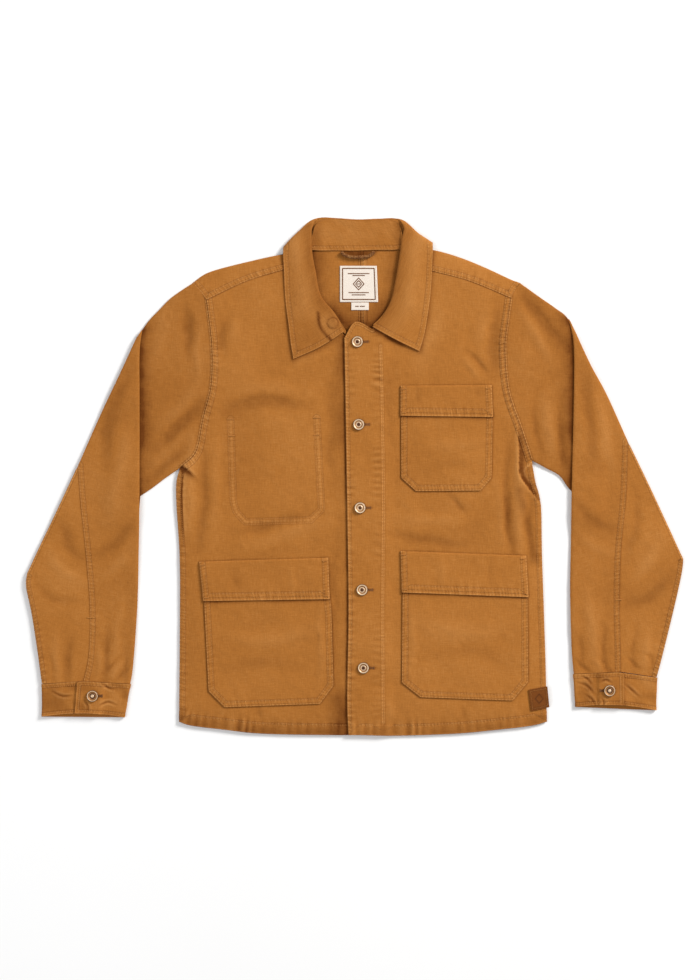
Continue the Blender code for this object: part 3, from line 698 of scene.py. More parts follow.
def makeWearAndPaintedLight():
    # shifts one colour towards a lighter one, for rubbed ridges and painted highlights, and towards a deep
    # one, for painted shade in hollows, creases and under edges; random dye tone moves it both ways
    inputs = {"Base": (0.4, 0.16, 0.04, 1), "Worn": (0.6, 0.3, 0.1, 1), "Deep": (0.2, 0.07, 0.01, 1)}
    inputs.update(Shade=0.0, Pale=0.0, Dark=0.0)
    tree, given, out = shaderGroup("wornAndDark", inputs, ("Colour",))
    paler = given["Shade"].atLeast(0.0) + given["Pale"]
    darker = given["Shade"].atMost(0.0) * -1.0 + given["Dark"]
    colour = given["Base"]
    for share, towards in ((paler, given["Worn"]), (darker, given["Deep"])):
        inputs = {"Factor": share, "A": colour, "B": towards}
        mix = addNode(tree, "ShaderNodeMix", inputs, data_type="RGBA", clamp_factor=True)
        colour = mix.outputs["Result"]
    feed(tree, colour, out.inputs["Colour"])
    return tree


def makeSeamDetail():
    # what stitching does to the cloth beside it: ticks, sunk rows, ridges lighter from rubbing and dark
    # gutters, with painted highlight on the tick crests and painted shade in the sunk rows, gutters and tick
    # troughs
    inputs = {"Seam": None, "Rows": None, "Wave": 5.0}
    tree, given, out = shaderGroup("seamDetail", inputs, ("Height", "Pale", "Dark"))
    run, away, strength = given["Seam"].parts()
    width, rowOne, rowTwo = given["Rows"].parts()

    def near(centre, half):
        # 1 on a line at this distance from the seam, 0 half a width away
        share = (away - centre) / half
        return (1.0 - share * share).atLeast(0.0)

    flat = addNode(tree, "ShaderNodeCombineXYZ", {0: run, 1: away * 0.22}).outputs[0]
    slow, quick = noiseNode(tree, flat, 0.07, 1.0), noiseNode(tree, flat, 0.42, 1.5)
    turn = run * (2 * math.pi) / given["Wave"] + (slow * 9.0 + away * 0.35)
    tick = turn.sine() * 0.45 + (quick - 0.5) * 2.2
    reach = (1.0 - (away - width).atLeast(0.0) / 5.0).atLeast(0.0) * strength
    stitched = near(rowOne, 1.0) + near(rowTwo, 1.0)
    ticks = tick * ((near(rowOne, 3.4) + near(rowTwo, 3.4) + near(width, 3.0)).atMost(1.0) * reach)
    ridge = near(0.9, 1.1) * 0.55 + near(width - 0.5, 1.0) * 0.4
    gutter = near(width + 0.9, 1.0) * (tick * 0.5 + 0.62)
    feed(tree, ticks * 0.6 + ridge * reach - stitched * reach, out.inputs["Height"])
    # Pale: ridges lighter from rubbing, and painted highlight on the tick crests
    bright = ridge * (tick + 1.0) + ticks.atLeast(0.0) * 0.62
    feed(tree, bright.atLeast(0.0) * reach, out.inputs["Pale"])
    # Dark: painted shade in the sunk rows, the gutter beside the band and the tick troughs
    sunk = stitched * 0.1 + near(0.0, 0.7) * 0.6 + gutter + (ticks * -1.0).atLeast(0.0) * 0.24
    feed(tree, sunk.atLeast(0.0) * reach, out.inputs["Dark"])
    return tree


weaveGroup, dyeGroup, wearAndLightGroup, seamGroup = makeWeave(), makeDye(), makeWearAndPaintedLight(), makeSeamDetail()


def finish(look):
    # one cloth, leather, cord or metal finish from its dictionary of values
    material = bpy.data.materials.new(look["name"])
    material.use_nodes = True
    tree = material.node_tree
    shader = tree.nodes["Principled BSDF"]
    shader.location = (900, 0)
    tree.nodes["Material Output"].location = (1200, 0)
    if look.get("uv"):
        vector = addNode(tree, "ShaderNodeUVMap", uv_map="cut").outputs["UV"]
    else:
        vector = addNode(tree, "ShaderNodeTexCoord").outputs["Object"]
    inputs = {"Vector": vector, "Yarns Per Metre": look["yarns"], "Slub": look["slub"]}
    weave = addNode(tree, "ShaderNodeGroup", inputs, node_tree=weaveGroup).outputs
    inputs = {"Vector": vector, "Cloud": look["cloud"], "Heather": look["heather"]}
    dye = addNode(tree, "ShaderNodeGroup", inputs, node_tree=dyeGroup).outputs
    inputs = {label: (*look[label.lower()], 1) for label in ("Base", "Worn", "Deep")}
    inputs["Shade"] = Signal(tree, weave["Fleck"]) * look["fleck"] + dye["Shade"]
    bumps = [(dye["Crumple"], look["crumple"]), (weave["Height"], look["bump"])]
    if look.get("marks"):
        marks = {}
        for label, kind in (("seam", "Vector"), ("seamRows", "Vector"), ("pale", "Fac"), ("dark", "Fac")):
            source = addNode(tree, "ShaderNodeAttribute", attribute_name=label)
            marks[label] = Signal(tree, source.outputs[kind])
        rows = {"Seam": marks["seam"], "Rows": marks["seamRows"]}
        seamed = addNode(tree, "ShaderNodeGroup", rows, node_tree=seamGroup)
        # the pale and dark marks are painted highlight and painted shade laid on each sheet, with some
        # lightening from rubbing on ridges, plus the seams' own marks
        mottled = Signal(tree, dye["Crumple"]) * 0.9 + 0.5
        for socket in ("Pale", "Dark"):
            sewn = Signal(tree, seamed.outputs[socket]) * look["seamMarks"]
            inputs[socket] = marks[socket.lower()] * mottled + sewn
        bumps.insert(0, (seamed.outputs["Height"], look["seamDepth"]))
    wearAndLight = addNode(tree, "ShaderNodeGroup", inputs, node_tree=wearAndLightGroup)
    normal = None
    for height, depth in bumps:
        bump = addNode(tree, "ShaderNodeBump", {"Height": height, "Distance": depth, "Strength": 1.0})
        if normal:
            tree.links.new(normal, bump.inputs["Normal"])
        normal = bump.outputs["Normal"]
    surface = {"Base Color": wearAndLight.outputs["Colour"], "Normal": normal, "Roughness": look["rough"]}
    surface.update({"Metallic": look.get("metal", 0.0), "Specular IOR Level": look.get("specular", 0.35)})
    surface.update({"Sheen Weight": look.get("sheen", 0.0), "Sheen Roughness": 0.6})
    for label, value in surface.items():
        feed(tree, value, shader.inputs[label])
    return material


looks = {
    "canvas": {
        "name": "tan_canvas", "uv": True, "marks": True, "yarns": 1700.0, "slub": 0.5, "cloud": 0.36,
            "heather": 0.42, "fleck": 0.5,
        "base": (0.388, 0.142, 0.0235), "worn": (0.64, 0.3, 0.09), "deep": (0.13, 0.034, 0.002),
        "rough": 0.92, "sheen": 0.02, "specular": 0.14, "bump": 0.00012, "crumple": 0.0013,
            "seamMarks": 0.62, "seamDepth": 0.00042,
    },
    "thread": {
        "name": "tan_thread", "yarns": 5200.0, "slub": 0.2, "cloud": 0.3, "heather": 0.5, "fleck": 0.2,
        "base": (0.5, 0.2, 0.04), "worn": (0.66, 0.31, 0.09), "deep": (0.26, 0.085, 0.012),
        "rough": 0.75, "specular": 0.3, "bump": 0.0001, "crumple": 0.0002,
    },
    "woven": {
        "name": "woven_label_cloth", "uv": True, "yarns": 3600.0, "slub": 0.3, "cloud": 0.3,
            "heather": 0.3, "fleck": 0.3,
        "base": (0.78, 0.69, 0.6), "worn": (0.88, 0.82, 0.74), "deep": (0.5, 0.38, 0.28),
        "rough": 0.7, "sheen": 0.1, "bump": 0.00006, "crumple": 0.0003,
    },
    "labelThread": {
        "name": "brown_label_thread", "yarns": 5200.0, "slub": 0.2, "cloud": 0.3, "heather": 0.4,
            "fleck": 0.3,
        "base": (0.19, 0.07, 0.018), "worn": (0.3, 0.13, 0.04), "deep": (0.1, 0.03, 0.008),
        "rough": 0.7, "bump": 0.0001, "crumple": 0.0002,
    },
    "leather": {
        "name": "brown_leather", "uv": True, "marks": True, "yarns": 900.0, "slub": 1.0, "cloud": 0.5,
            "heather": 0.9, "fleck": 0.15,
        "base": (0.165, 0.047, 0.005), "worn": (0.3, 0.1, 0.016), "deep": (0.045, 0.011, 0.001),
        "rough": 0.7, "specular": 0.15, "bump": 0.0001, "crumple": 0.0006, "seamMarks": 0.5,
            "seamDepth": 0.0003,
    },
    "cord": {
        "name": "brown_cord", "yarns": 2600.0, "slub": 0.4, "cloud": 0.5, "heather": 2.6, "fleck": 1.4,
        "base": (0.2, 0.07, 0.016), "worn": (0.6, 0.34, 0.13), "deep": (0.06, 0.018, 0.004),
        "rough": 0.85, "specular": 0.25, "bump": 0.0002, "crumple": 0.0005,
    },
    "brass": {
        "name": "antique_brass", "yarns": 900.0, "slub": 0.2, "cloud": 0.8, "heather": 1.2, "fleck": 0.2,
        "base": (0.36, 0.17, 0.06), "worn": (0.6, 0.36, 0.16), "deep": (0.09, 0.035, 0.012),
        "rough": 0.46, "metal": 0.45, "bump": 0.00003, "crumple": 0.0003,
    },
    "brassCap": {
        "name": "bright_brass", "yarns": 900.0, "slub": 0.2, "cloud": 0.4, "heather": 0.8, "fleck": 0.2,
        "base": (0.78, 0.56, 0.36), "worn": (0.86, 0.72, 0.54), "deep": (0.3, 0.15, 0.06),
        "rough": 0.4, "metal": 0.45, "bump": 0.00002, "crumple": 0.0002,
    },
    # dark brass, which also serves as painted shade round the front buttons' outer edges
    "brassDark": {
        "name": "dark_brass_and_painted_shade", "yarns": 900.0, "slub": 0.2, "cloud": 0.5, "heather": 0.8, "fleck": 0.2,
        "base": (0.085, 0.028, 0.008), "worn": (0.2, 0.09, 0.03), "deep": (0.03, 0.01, 0.003),
        "rough": 0.32, "metal": 0.3, "bump": 0.00002, "crumple": 0.0002,
    },
}
canvas, thread, woven, labelThread, leather, cordFinish, brass, brassCap, brassDark = (finish(look)
    for look in looks.values())
print("finishes made:", len(looks))

# Stitches, laid along lines by one tree of Geometry Nodes.


def makeStitchTree():
    tree = bpy.data.node_groups.new("stitchRows", "GeometryNodeTree")
    face = tree.interface
    face.new_socket(name="Geometry", in_out="INPUT", socket_type="NodeSocketGeometry")
    for label, default in (("Pitch", 0.0029), ("Length", 0.0025), ("Thickness", 0.0008), ("Turn", 0.0)):
        face.new_socket(name=label, in_out="INPUT", socket_type="NodeSocketFloat").default_value = default
    face.new_socket(name="Seed", in_out="INPUT", socket_type="NodeSocketInt").default_value = 5
    face.new_socket(name="Finish", in_out="INPUT", socket_type="NodeSocketMaterial")
    face.new_socket(name="Geometry", in_out="OUTPUT", socket_type="NodeSocketGeometry")
    given = addNode(tree, "NodeGroupInput").outputs

    def turned(rotation, angle):
        # turned this much more round its own upright axis
        more = addNode(tree, "FunctionNodeAxisAngleToRotation", {"Axis": (0, 0, 1), "Angle": angle})
        inputs = {"Rotation": rotation, "Rotate By": more.outputs["Rotation"]}
        return addNode(tree, "FunctionNodeRotateRotation", inputs,
            rotation_space="LOCAL").outputs["Rotation"]

    def scatter(low, high):
        return addNode(tree, "FunctionNodeRandomValue", {2: low, 3: high, "Seed": given["Seed"]},
            data_type="FLOAT").outputs[1]

    dots = addNode(tree, "GeometryNodeCurveToPoints",
        {"Curve": given["Geometry"], "Length": given["Pitch"]}, mode="LENGTH")
    facing = addNode(tree, "FunctionNodeAlignRotationToVector", {"Vector": dots.outputs["Tangent"]},
        axis="X")
    rotation = turned(turned(facing.outputs["Rotation"], given["Turn"]), scatter(-0.12, 0.12))
    ball = addNode(tree, "GeometryNodeMeshUVSphere", {"Segments": 6, "Rings": 4, "Radius": 0.5})
    longer = addNode(tree, "ShaderNodeMath", {0: given["Length"], 1: scatter(0.86, 1.06)},
        operation="MULTIPLY")
    size = addNode(tree, "ShaderNodeCombineXYZ",
        {0: longer.outputs[0], 1: given["Thickness"], 2: given["Thickness"]})
    inputs = {"Points": dots.outputs["Points"], "Instance": ball.outputs["Mesh"], "Rotation": rotation,
        "Scale": size.outputs["Vector"]}
    placed = addNode(tree, "GeometryNodeInstanceOnPoints", inputs)
    real = addNode(tree, "GeometryNodeRealizeInstances", {"Geometry": placed.outputs["Instances"]})
    dyed = addNode(tree, "GeometryNodeSetMaterial",
        {"Geometry": real.outputs["Geometry"], "Material": given["Finish"]})
    addNode(tree, "NodeGroupOutput", {"Geometry": dyed.outputs["Geometry"]})
    return tree


stitchTree = makeStitchTree()
stitchSizes = {
    # pitch, length and thickness of a stitch in metres, and its turn across the row
    "seam": {"Pitch": 0.0030, "Length": 0.0025, "Thickness": 0.0007, "Turn": 0.0},
    "tack": {"Pitch": 0.00075, "Length": 0.0026, "Thickness": 0.0008, "Turn": math.pi / 2},
    "label": {"Pitch": 0.0019, "Length": 0.0018, "Thickness": 0.0006, "Turn": 0.0},
}


def sew(name, rows, kind, finishUsed):
    # rows are lists of points in millimetres; the result is one plain mesh that rides on the jacket
    line = bpy.data.curves.new(name + "_line", "CURVE")
    line.dimensions = "3D"
    for row in rows:
        spline = line.splines.new("POLY")
        spline.points.add(len(row) - 1)
        flat = np.concatenate([np.asarray(row, float) * mm, np.ones((len(row), 1))], axis=1)
        spline.points.foreach_set("co", flat.ravel())
    guide = bpy.data.objects.new(name + "_guide", line)
    bpy.context.scene.collection.objects.link(guide)
    modifier = guide.modifiers.new("stitches", "NODES")
    modifier.node_group = stitchTree
    sockets = {s.name: s.identifier for s in stitchTree.interface.items_tree if s.in_out == "INPUT"}
    for label, value in stitchSizes[kind].items():
        modifier[sockets[label]] = value
    modifier[sockets["Seed"]] = len(name)
    modifier[sockets["Finish"]] = finishUsed
    graph = bpy.context.evaluated_depsgraph_get()
    mesh = bpy.data.meshes.new_from_object(guide.evaluated_get(graph))
    guide.modifiers.clear()
    bpy.data.objects.remove(guide)
    obj = bpy.data.objects.new(name, mesh)
    bpy.context.scene.collection.objects.link(obj)
    mesh.shade_smooth()
    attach(obj, "root")
    return obj


threadRows, tackRows, holeRows = {}, {}, {}  # stitches, bar tacks and buttonholes waiting for each sheet


def sewnTop(node, points, up=0.12):
    points = np.asarray(points, float)
    z = surfaces[node]["top"](points[:, 0], points[:, 1])
    return np.concatenate([points[:, :2], (z + up)[:, None]], axis=1)


def addRow(node, points, step=1.4):
    line = evenly(np.asarray(points, float), max(2, int(lengthOf(points) / step)))
    threadRows.setdefault(node, []).append(sewnTop(node, line))


def addTack(node, start, end):
    line = evenly(np.array([start, end], float), 8)
    tackRows.setdefault(node, []).append(sewnTop(node, line, 0.3))


def trimmed(line, start, end):
    # the line without so many millimetres at either end
    run = runAlong(line)
    keep = (run >= start) & (run <= run[-1] - end)
    return line[keep]


def addSeamRows(node):
    # the rows of stitches that a sheet's own seams carry
    for line, kind, _ in surfaces[node]["seams"]:
        for away in seamKinds[kind]["rows"]:
            moved = shifted(line, away, surfaces[node]["centre"])
            moved = trimmed(moved, away * 0.8, away * 0.8)
            if len(moved) > 3:
                addRow(node, moved)


# Cut edges in plan: the wearer's right is at -X, and armholes start at the underarm.

edges = {
    "hemRight": ((-262, -368), (-244, -374), (-194, -380), (-138, -386), (-40, -388), (15, -388)),
    "hemLeft": ((15, -388), (66, -389), (153, -386), (216, -380), (267, -374), (289, -368)),
    "sideRight": ((-262, -368), (-261, -245), (-261, -128), (-266, -43), (-266, -8), (-260, 14)),
    "sideLeft": ((289, -368), (287, -275), (282, -125), (280, -43), (272, -8), (266, 25)),
    "armRight": ((-260, 14), (-237, 37), (-226, 88), (-214, 137), (-213, 197), (-221, 265)),
    "armLeft": ((266, 25), (250, 73), (231, 130), (226, 194), (230, 232), (235, 268)),
    "tipRight": ((-221, 265), (-231, 278), (-242, 290)),
    "tipLeft": ((235, 268), (242, 280), (249, 290)),
    "topRight": ((-242, 290), (-216, 307), (-146, 325), (-102, 334), (-75, 338)),
    "topLeft": ((87, 340), (116, 340), (154, 330), (195, 314), (234, 296), (249, 290)),
    "neckBackRight": ((-75, 338), (-36, 338), (15, 338)),
    "neckBackLeft": ((15, 338), (54, 338), (87, 340)),
    "shoulderRight": ((-221, 265), (-164, 292), (-106, 310), (-78, 317)),
    "shoulderLeft": ((87, 317), (118, 308), (174, 293), (235, 268)),
    "neckFrontRight": ((-78, 317), (-72, 292), (-60, 260), (-40, 235), (-14, 212)),
    "neckFrontLeft": ((87, 317), (81, 295), (70, 268), (54, 244), (28, 221)),
    "buttonEdge": ((-8, -388), (-10, -331), (-8, -212), (-9, -107), (-12, 85), (-14, 208)),
    "lapTop": ((-14, 208), (2, 232), (28, 221)),
    "hiddenEdge": ((40, -388), (40, -215), (39, -5), (36, 190)),
    "facingRow": ((44, -371), (43, -215), (44, -35), (42, 115), (40, 197)),
}
lines = {name: curve(points, 5.0) for name, points in edges.items()}
cells = {"side": 17, "arm": 11, "tip": 2, "shoulder": 6, "neck": 5, "lap": 2, "back": 3}
bodyCells = cells["shoulder"] + cells["neck"] + cells["lap"]
bodyRows = cells["side"] + cells["arm"]
centreBack = (15, 338)
centreLine = np.array([edges["hemLeft"][0], centreBack], float)

# The inner pocket of the right chest shows only as stitching on the front.
innerPocket = {
    "outline": ((-189, 86), (-185, -38), (-180, -55), (-164, -72), (-64, -69), (-45, -51), (-49, 23),
        (-52, 88)),
    "between": 7.5,
    "tacks": (((-190, 86), (-180, 86)), ((-61, 88), (-50, 88)), ((-188, 61), (-179, 61)),
        ((-60, 62), (-51, 62))),
}


def straightRuns(points, step=1.5):
    points = np.asarray(points, float)
    runs = [evenly(np.array(pair), max(2, int(math.dist(*pair) / step)))
        for pair in zip(points[:-1], points[1:])]
    return np.concatenate([runs[0]] + [run[1:] for run in runs[1:]])


collarEdge = {
    "right": ((-106, 337), (-105, 307), (-98, 226), (-91, 176), (-51, 194), (-15, 211)),
    "left": ((118, 344), (117, 311), (110, 239), (98, 188), (63, 205), (28, 224)),
}
pocketOuter = straightRuns(innerPocket["outline"])
pocketMiddle = shifted(evenly(pocketOuter, 60), innerPocket["between"] / 2, (-118, 25))
seamKinds["inner"] = {"width": 4.6, "rise": 0.12, "pucker": 0.16, "wave": 12.0, "rows": (3.7,)}
seamKinds["patch"] = {"width": 8.2, "rise": 0.2, "pucker": 0.16, "wave": 13.0, "rows": (1.7, 7.2)}


def placketImprint(x, y):
    # the doubled facing of the button edge, with its short level puckers
    facing = 1 - ramp(x, 42, 45)
    ripple = np.sin(2 * np.pi * y / 11 + 5 * softNoise(x * 0.4, y, 30, 71)) * (0.5
        + 0.5 * softNoise(x, y, 30, 72))
    near = bell(x - 35, 8) * (0.25 + 0.75 * facing) + 0.8 * bell(x + 5, 7)
    near = near * (0.6 + 0.6 * softNoise(x * 0.6, y, 48, 73)) * ramp(x, -16, -6)
    # painted highlight on the pucker crests and painted shade in their troughs
    return 0.3 * facing + 0.55 * ripple * near, 0.42 * np.clip(ripple, 0,
        1) * near, 0.5 * np.clip(-ripple, 0, 1) * near


def centreImprint(x, y):
    # the felled seam down the middle of the back
    away = np.abs(x - 15)
    row = bell(away - 3.2, 0.8)
    gutter = bell(away - 5.2, 0.8)
    # the band lighter from rubbing, with painted shade in the stitch row and the gutter beside it
    return 0.4 * (1 - ramp(away, 4.3, 5.3)) - 0.2 * row, 0.2 * (1
        - ramp(away, 3.5, 5)), 0.25 * row + 0.45 * gutter


def pocketShades(side):
    # painted shadow where a pocket meets the front, along its hem band and under the collar's edge
    outlines = []
    for node, cut in pockets.items():
        if node.endswith(side):
            rim = cut["left"] + cut["foot"][1:-1] + cut["right"]
            outlines += [(straightRuns(rim, 5), 2.2, 0.42),
                (straightRuns(cut["band"] + cut["band"][:1], 5), 2.0, 0.3)]
    return outlines + [(straightRuns(collarEdge[side], 5), 5.0, 0.42)]


def bodyTone(x, y):
    return creaseRise(bodyCreases, x, y) + 0.32 * swell(x, y)


def sleeveTone(x, y):
    return creaseRise(sleeveCreases, x, y) + 0.32 * swell(x, y)


def makeBody():
    neckShade = curve(((-63, 338), (-66, 316), (-56, 265), (-27, 241), (-3, 226), (30, 229), (54, 256),
        (70, 295), (72, 337)), 5)
    loopShade = curve(((-15, 340), (6, 335), (28, 340)), 4)
    shades = [(neckShade, 24.0, 0.55), (neckShade, 4.0, 0.35), (loopShade, 6.0, 0.85)]
    size = {"pitch": 4.2, "dense": (1.4, 14.0), "coarse": 1, "imprint": centreImprint, "shades": shades}
    centre = edgeOf((centreLine, bodyRows + cells["tip"]))
    for side in ("Right", "Left"):
        outer = edgeOf(*((edges[name + side], cells[name]) for name in ("side", "arm", "tip")))
        top = [(edges["top" + side], cells["shoulder"]), (edges["neckBack" + side], cells["back"])]
        flanks = (outer, centre)
        seams = [(lines[name + side], kind, 1.0) for name,
            kind in (("side", "felled"), ("arm", "felled"), ("hem", "hem"))]
        if side == "Left":
            top, flanks = top[::-1], flanks[::-1]
        else:
            seams.append((evenly(centreLine, 40), "felled", 1.0))
        more = {"seamed": side[0].lower(), "restsOn": ["floor"], "seams": seams, "underside": 1.0}
        patch = (edgeOf((edges["hem" + side], 9)), edgeOf(*top), *flanks)
        makeSheet("back_" + side.lower(), patch, backLevel, {**size, **more})

    size = {"pitch": 1.9, "dense": (1.05, 11.0), "coarse": 3, "tone": bodyTone}
    hem = edgeOf((edges["hemRight"] + edges["hiddenEdge"][:1], bodyCells))
    lap = (edges["neckFrontRight"][-1], edges["hiddenEdge"][-1])
    top = edgeOf((edges["shoulderRight"], cells["shoulder"]), (edges["neckFrontRight"], cells["neck"]),
        (lap, cells["lap"]))
    outer = edgeOf((edges["sideRight"], cells["side"]), (edges["armRight"], cells["arm"]))
    seams = [(lines["armRight"], "felled", 1.0), (lines["sideRight"], "felled", 1.0),
        (lines["hemRight"], "hem", 1.0)]
    seams.append((pocketMiddle, "inner", 0.6))
    shades = [(lines["buttonEdge"], 3.0, 0.75), (lines["buttonEdge"], 9.0, 0.22),
        (lines["shoulderRight"], 1.3, 0.5)]
    shades.append((curve(((-24, -335), (-20, -359), (-27, -386)), 5), 15.0, 0.45))
    shades.append((curve(((-18, 197), (-21, 130), (-18, 55)), 5), 9.0, 0.25))
    shades.append((lines["hemRight"], 14.0, 0.4))
    more = {
        "seams": seams,
        "rolls": [(lines["sideRight"], 4.5, 0.9), (lines["shoulderRight"], 2.0, 0.35)],
        "shades": shades + pocketShades("right"),
        "tucks": [
            (curve(((-273, 22), (-255, 14), (-237, -2)), 3), (-246, 55), 1.8, 10.0, 7.0),
            (curve(((-255, 22), (-258, -35), (-255, -103)), 5), (-186, -35), 0.5, 9.0, 3.0),
        ],
        "seamed": "lbt",
        "restsOn": ["back_right_cloth"],
    }
    patch = (hem, top, outer, edgeOf((edges["hiddenEdge"], bodyRows)))
    makeSheet("front_right", patch, frontLevel, {**size, **more})
    addSeamRows("front_right")
    threadRows["front_right"].append(sewnTop("front_right", pocketOuter))
    for tack in innerPocket["tacks"]:
        addTack("front_right", *tack)

    hem = edgeOf((edges["buttonEdge"][:1] + edges["hemLeft"], bodyCells))
    neck = (edges["neckFrontLeft"][::-1], cells["neck"])
    top = edgeOf((edges["lapTop"], cells["lap"]), neck, (edges["shoulderLeft"], cells["shoulder"]))
    outer = edgeOf((edges["sideLeft"], cells["side"]), (edges["armLeft"], cells["arm"]))
    seams = [(lines["armLeft"], "felled", 1.0), (lines["sideLeft"], "felled", 0.7)]
    seams.append((curve(edges["buttonEdge"][:1] + edges["hemLeft"], 5), "hem", 1.0))
    seams += [(lines["buttonEdge"], "facing", 1.0), (lines["lapTop"], "facing", 0.8),
        (lines["facingRow"], "row", 0.6)]
    shades = [(curve(((249, -20), (258, -65), (273, -125)), 5), 7.0, 0.3)]
    shades.append((curve(((228, -35), (234, -80), (243, -125)), 5), 8.0, 0.25))
    shades += [(lines["shoulderLeft"], 1.3, 0.5), (lines["hemLeft"], 12.0, 0.25)]
    shades += [(evenly(np.array([spot, (spot[0] + 17, spot[1])], float), 8), 1.7, 0.55)
        for spot in buttons["seats"].values()]
    shades += pocketShades("left") + [(curve(((24, 227), (45, 214), (72, 200)), 4), 5.0, 0.8)]
    more = {
        "seams": seams,
        "rolls": [(lines["sideLeft"], 4.5, 0.9), (lines["shoulderLeft"], 2.0, 0.35),
            (lines["buttonEdge"], 1.6, 0.5)],
        "shades": shades,
        "imprint": placketImprint,
        "tucks": [(curve(((246, 73), (248, 37), (249, 4), (262, -17), (280, -40)), 3), (226, -5), 2.5,
            9.0, 8.0)],
        "glints": [(curve(((268, 22), (255, 8), (264, -8), (279, -29)), 3), 1.2, 0.7)],
        "restsOn": ["back_left_cloth", "front_right_cloth"],
    }
    makeSheet("front_left", (hem, top, edgeOf((edges["buttonEdge"], bodyRows)), outer), lapLevel,
        {**size, **more})
    addSeamRows("front_left")
    addRow("front_left", lines["facingRow"])


def stripLevel(seam, outline):
    # level with the front at the seam, close to the back at the fold
    def height(x, y):
        low = np.interp(x, seam[:, 0], seam[:, 1])
        high = np.interp(x, outline[:, 0], outline[:, 1])
        share = np.clip((y - low) / np.maximum(1, high - low), 0, 1) ** 1.6
        front = frontLevel(x, y)
        return front + share * (backLevel(x, y) + plyStep + 0.2 - front)

    return height


def makeShoulders():
    shades = [(straightRuns(collarEdge[side], 5), 4.0, 0.4) for side in ("right", "left")]
    for side, end in (("Right", -1), ("Left", 0)):
        seam, outline = edgeOf((edges["shoulder" + side], 6)), edgeOf((edges["top" + side], 6))
        flanks = [edgeOf((edges["tip" + side], 2)),
            edgeOf(((edges["shoulder" + side][end], edges["top" + side][end]), 2))]
        seams = [(lines["shoulder" + side], "felled", 0.9), (lines["tip" + side], "felled", 0.8)]
        size = {"pitch": 1.8, "dense": (1.0, 11.0), "coarse": 3, "seamed": "bt", "tone": bodyTone,
            "shades": shades}
        size.update(seams=seams, rolls=[(lines["top" + side], 4.0, 0.9)],
            restsOn=[f"back_{side.lower()}_cloth"])
        patch = (seam, outline, *(flanks if side == "Right" else flanks[::-1]))
        makeSheet("shoulder_" + side.lower(), patch, stripLevel(seam, outline), size)
        addSeamRows("shoulder_" + side.lower())


sleeves = {
    "right": {
        "grain": -14.0,
        "headTop": ((-242, 290), (-273, 269), (-292, 250), (-309, 232), (-327, 205)),
        "headHidden": ((-352, -50), (-352, 25), (-350, 115), (-327, 205)),
        "headUnder": ((-352, -50), (-324, -31), (-303, -17), (-282, -1), (-260, 14)),
        "fold": ((-336, -311), (-332, -286), (-327, -218), (-324, -136), (-322, -34), (-322, 115),
            (-322, 187), (-318, 220)),
        "crown": ((-326, 208), (-352, 152), (-381, 91), (-414, 16)),
        "crownTop": ((-326, 208), (-318, 220)),
        "seam": ((-406, -307), (-398, -269), (-396, -200), (-402, -118), (-410, -40), (-414, 16)),
        "elbow": ((-417, 10), (-448, -56), (-474, -110), (-490, -145)),
        "peak": ((-417, 10), (-414, 16)),
        "forearm": ((-490, -145), (-492, -164), (-484, -203), (-476, -253), (-468, -311)),
        "underEdge": ((-336, -311), (-327, -218), (-324, -136), (-324, -31)),
        "wrist": ((-468, -311), (-406, -307), (-336, -311)),
        "placketTack": ((-400, -212), (-391, -212)),
    },
    "left": {
        "grain": 14.0,
        "headTop": ((249, 290), (280, 268), (303, 252), (320, 238), (327, 214)),
        "headHidden": ((357, -35), (357, 40), (351, 130), (327, 214)),
        "headUnder": ((357, -35), (327, -22), (309, 1), (286, 14), (266, 25)),
        "fold": ((330, -296), (327, -260), (325, -185), (326, -95), (327, -22), (330, 115), (330, 197),
            (323, 236)),
        "crown": ((329, 223), (354, 169), (380, 121), (411, 52)),
        "crownTop": ((323, 236), (329, 223)),
        "seam": ((400, -293), (399, -245), (398, -185), (400, -113), (408, -28), (411, 52)),
        "elbow": ((414, 46), (446, -20), (472, -76), (494, -124)),
        "peak": ((414, 46), (411, 52)),
        "forearm": ((494, -124), (492, -143), (483, -185), (468, -247), (454, -301)),
        "underEdge": ((330, -296), (325, -185), (326, -95), (327, -22)),
        "wrist": ((454, -301), (400, -293), (330, -296)),
        "placketTack": ((393, -185), (402, -185)),
    },
}


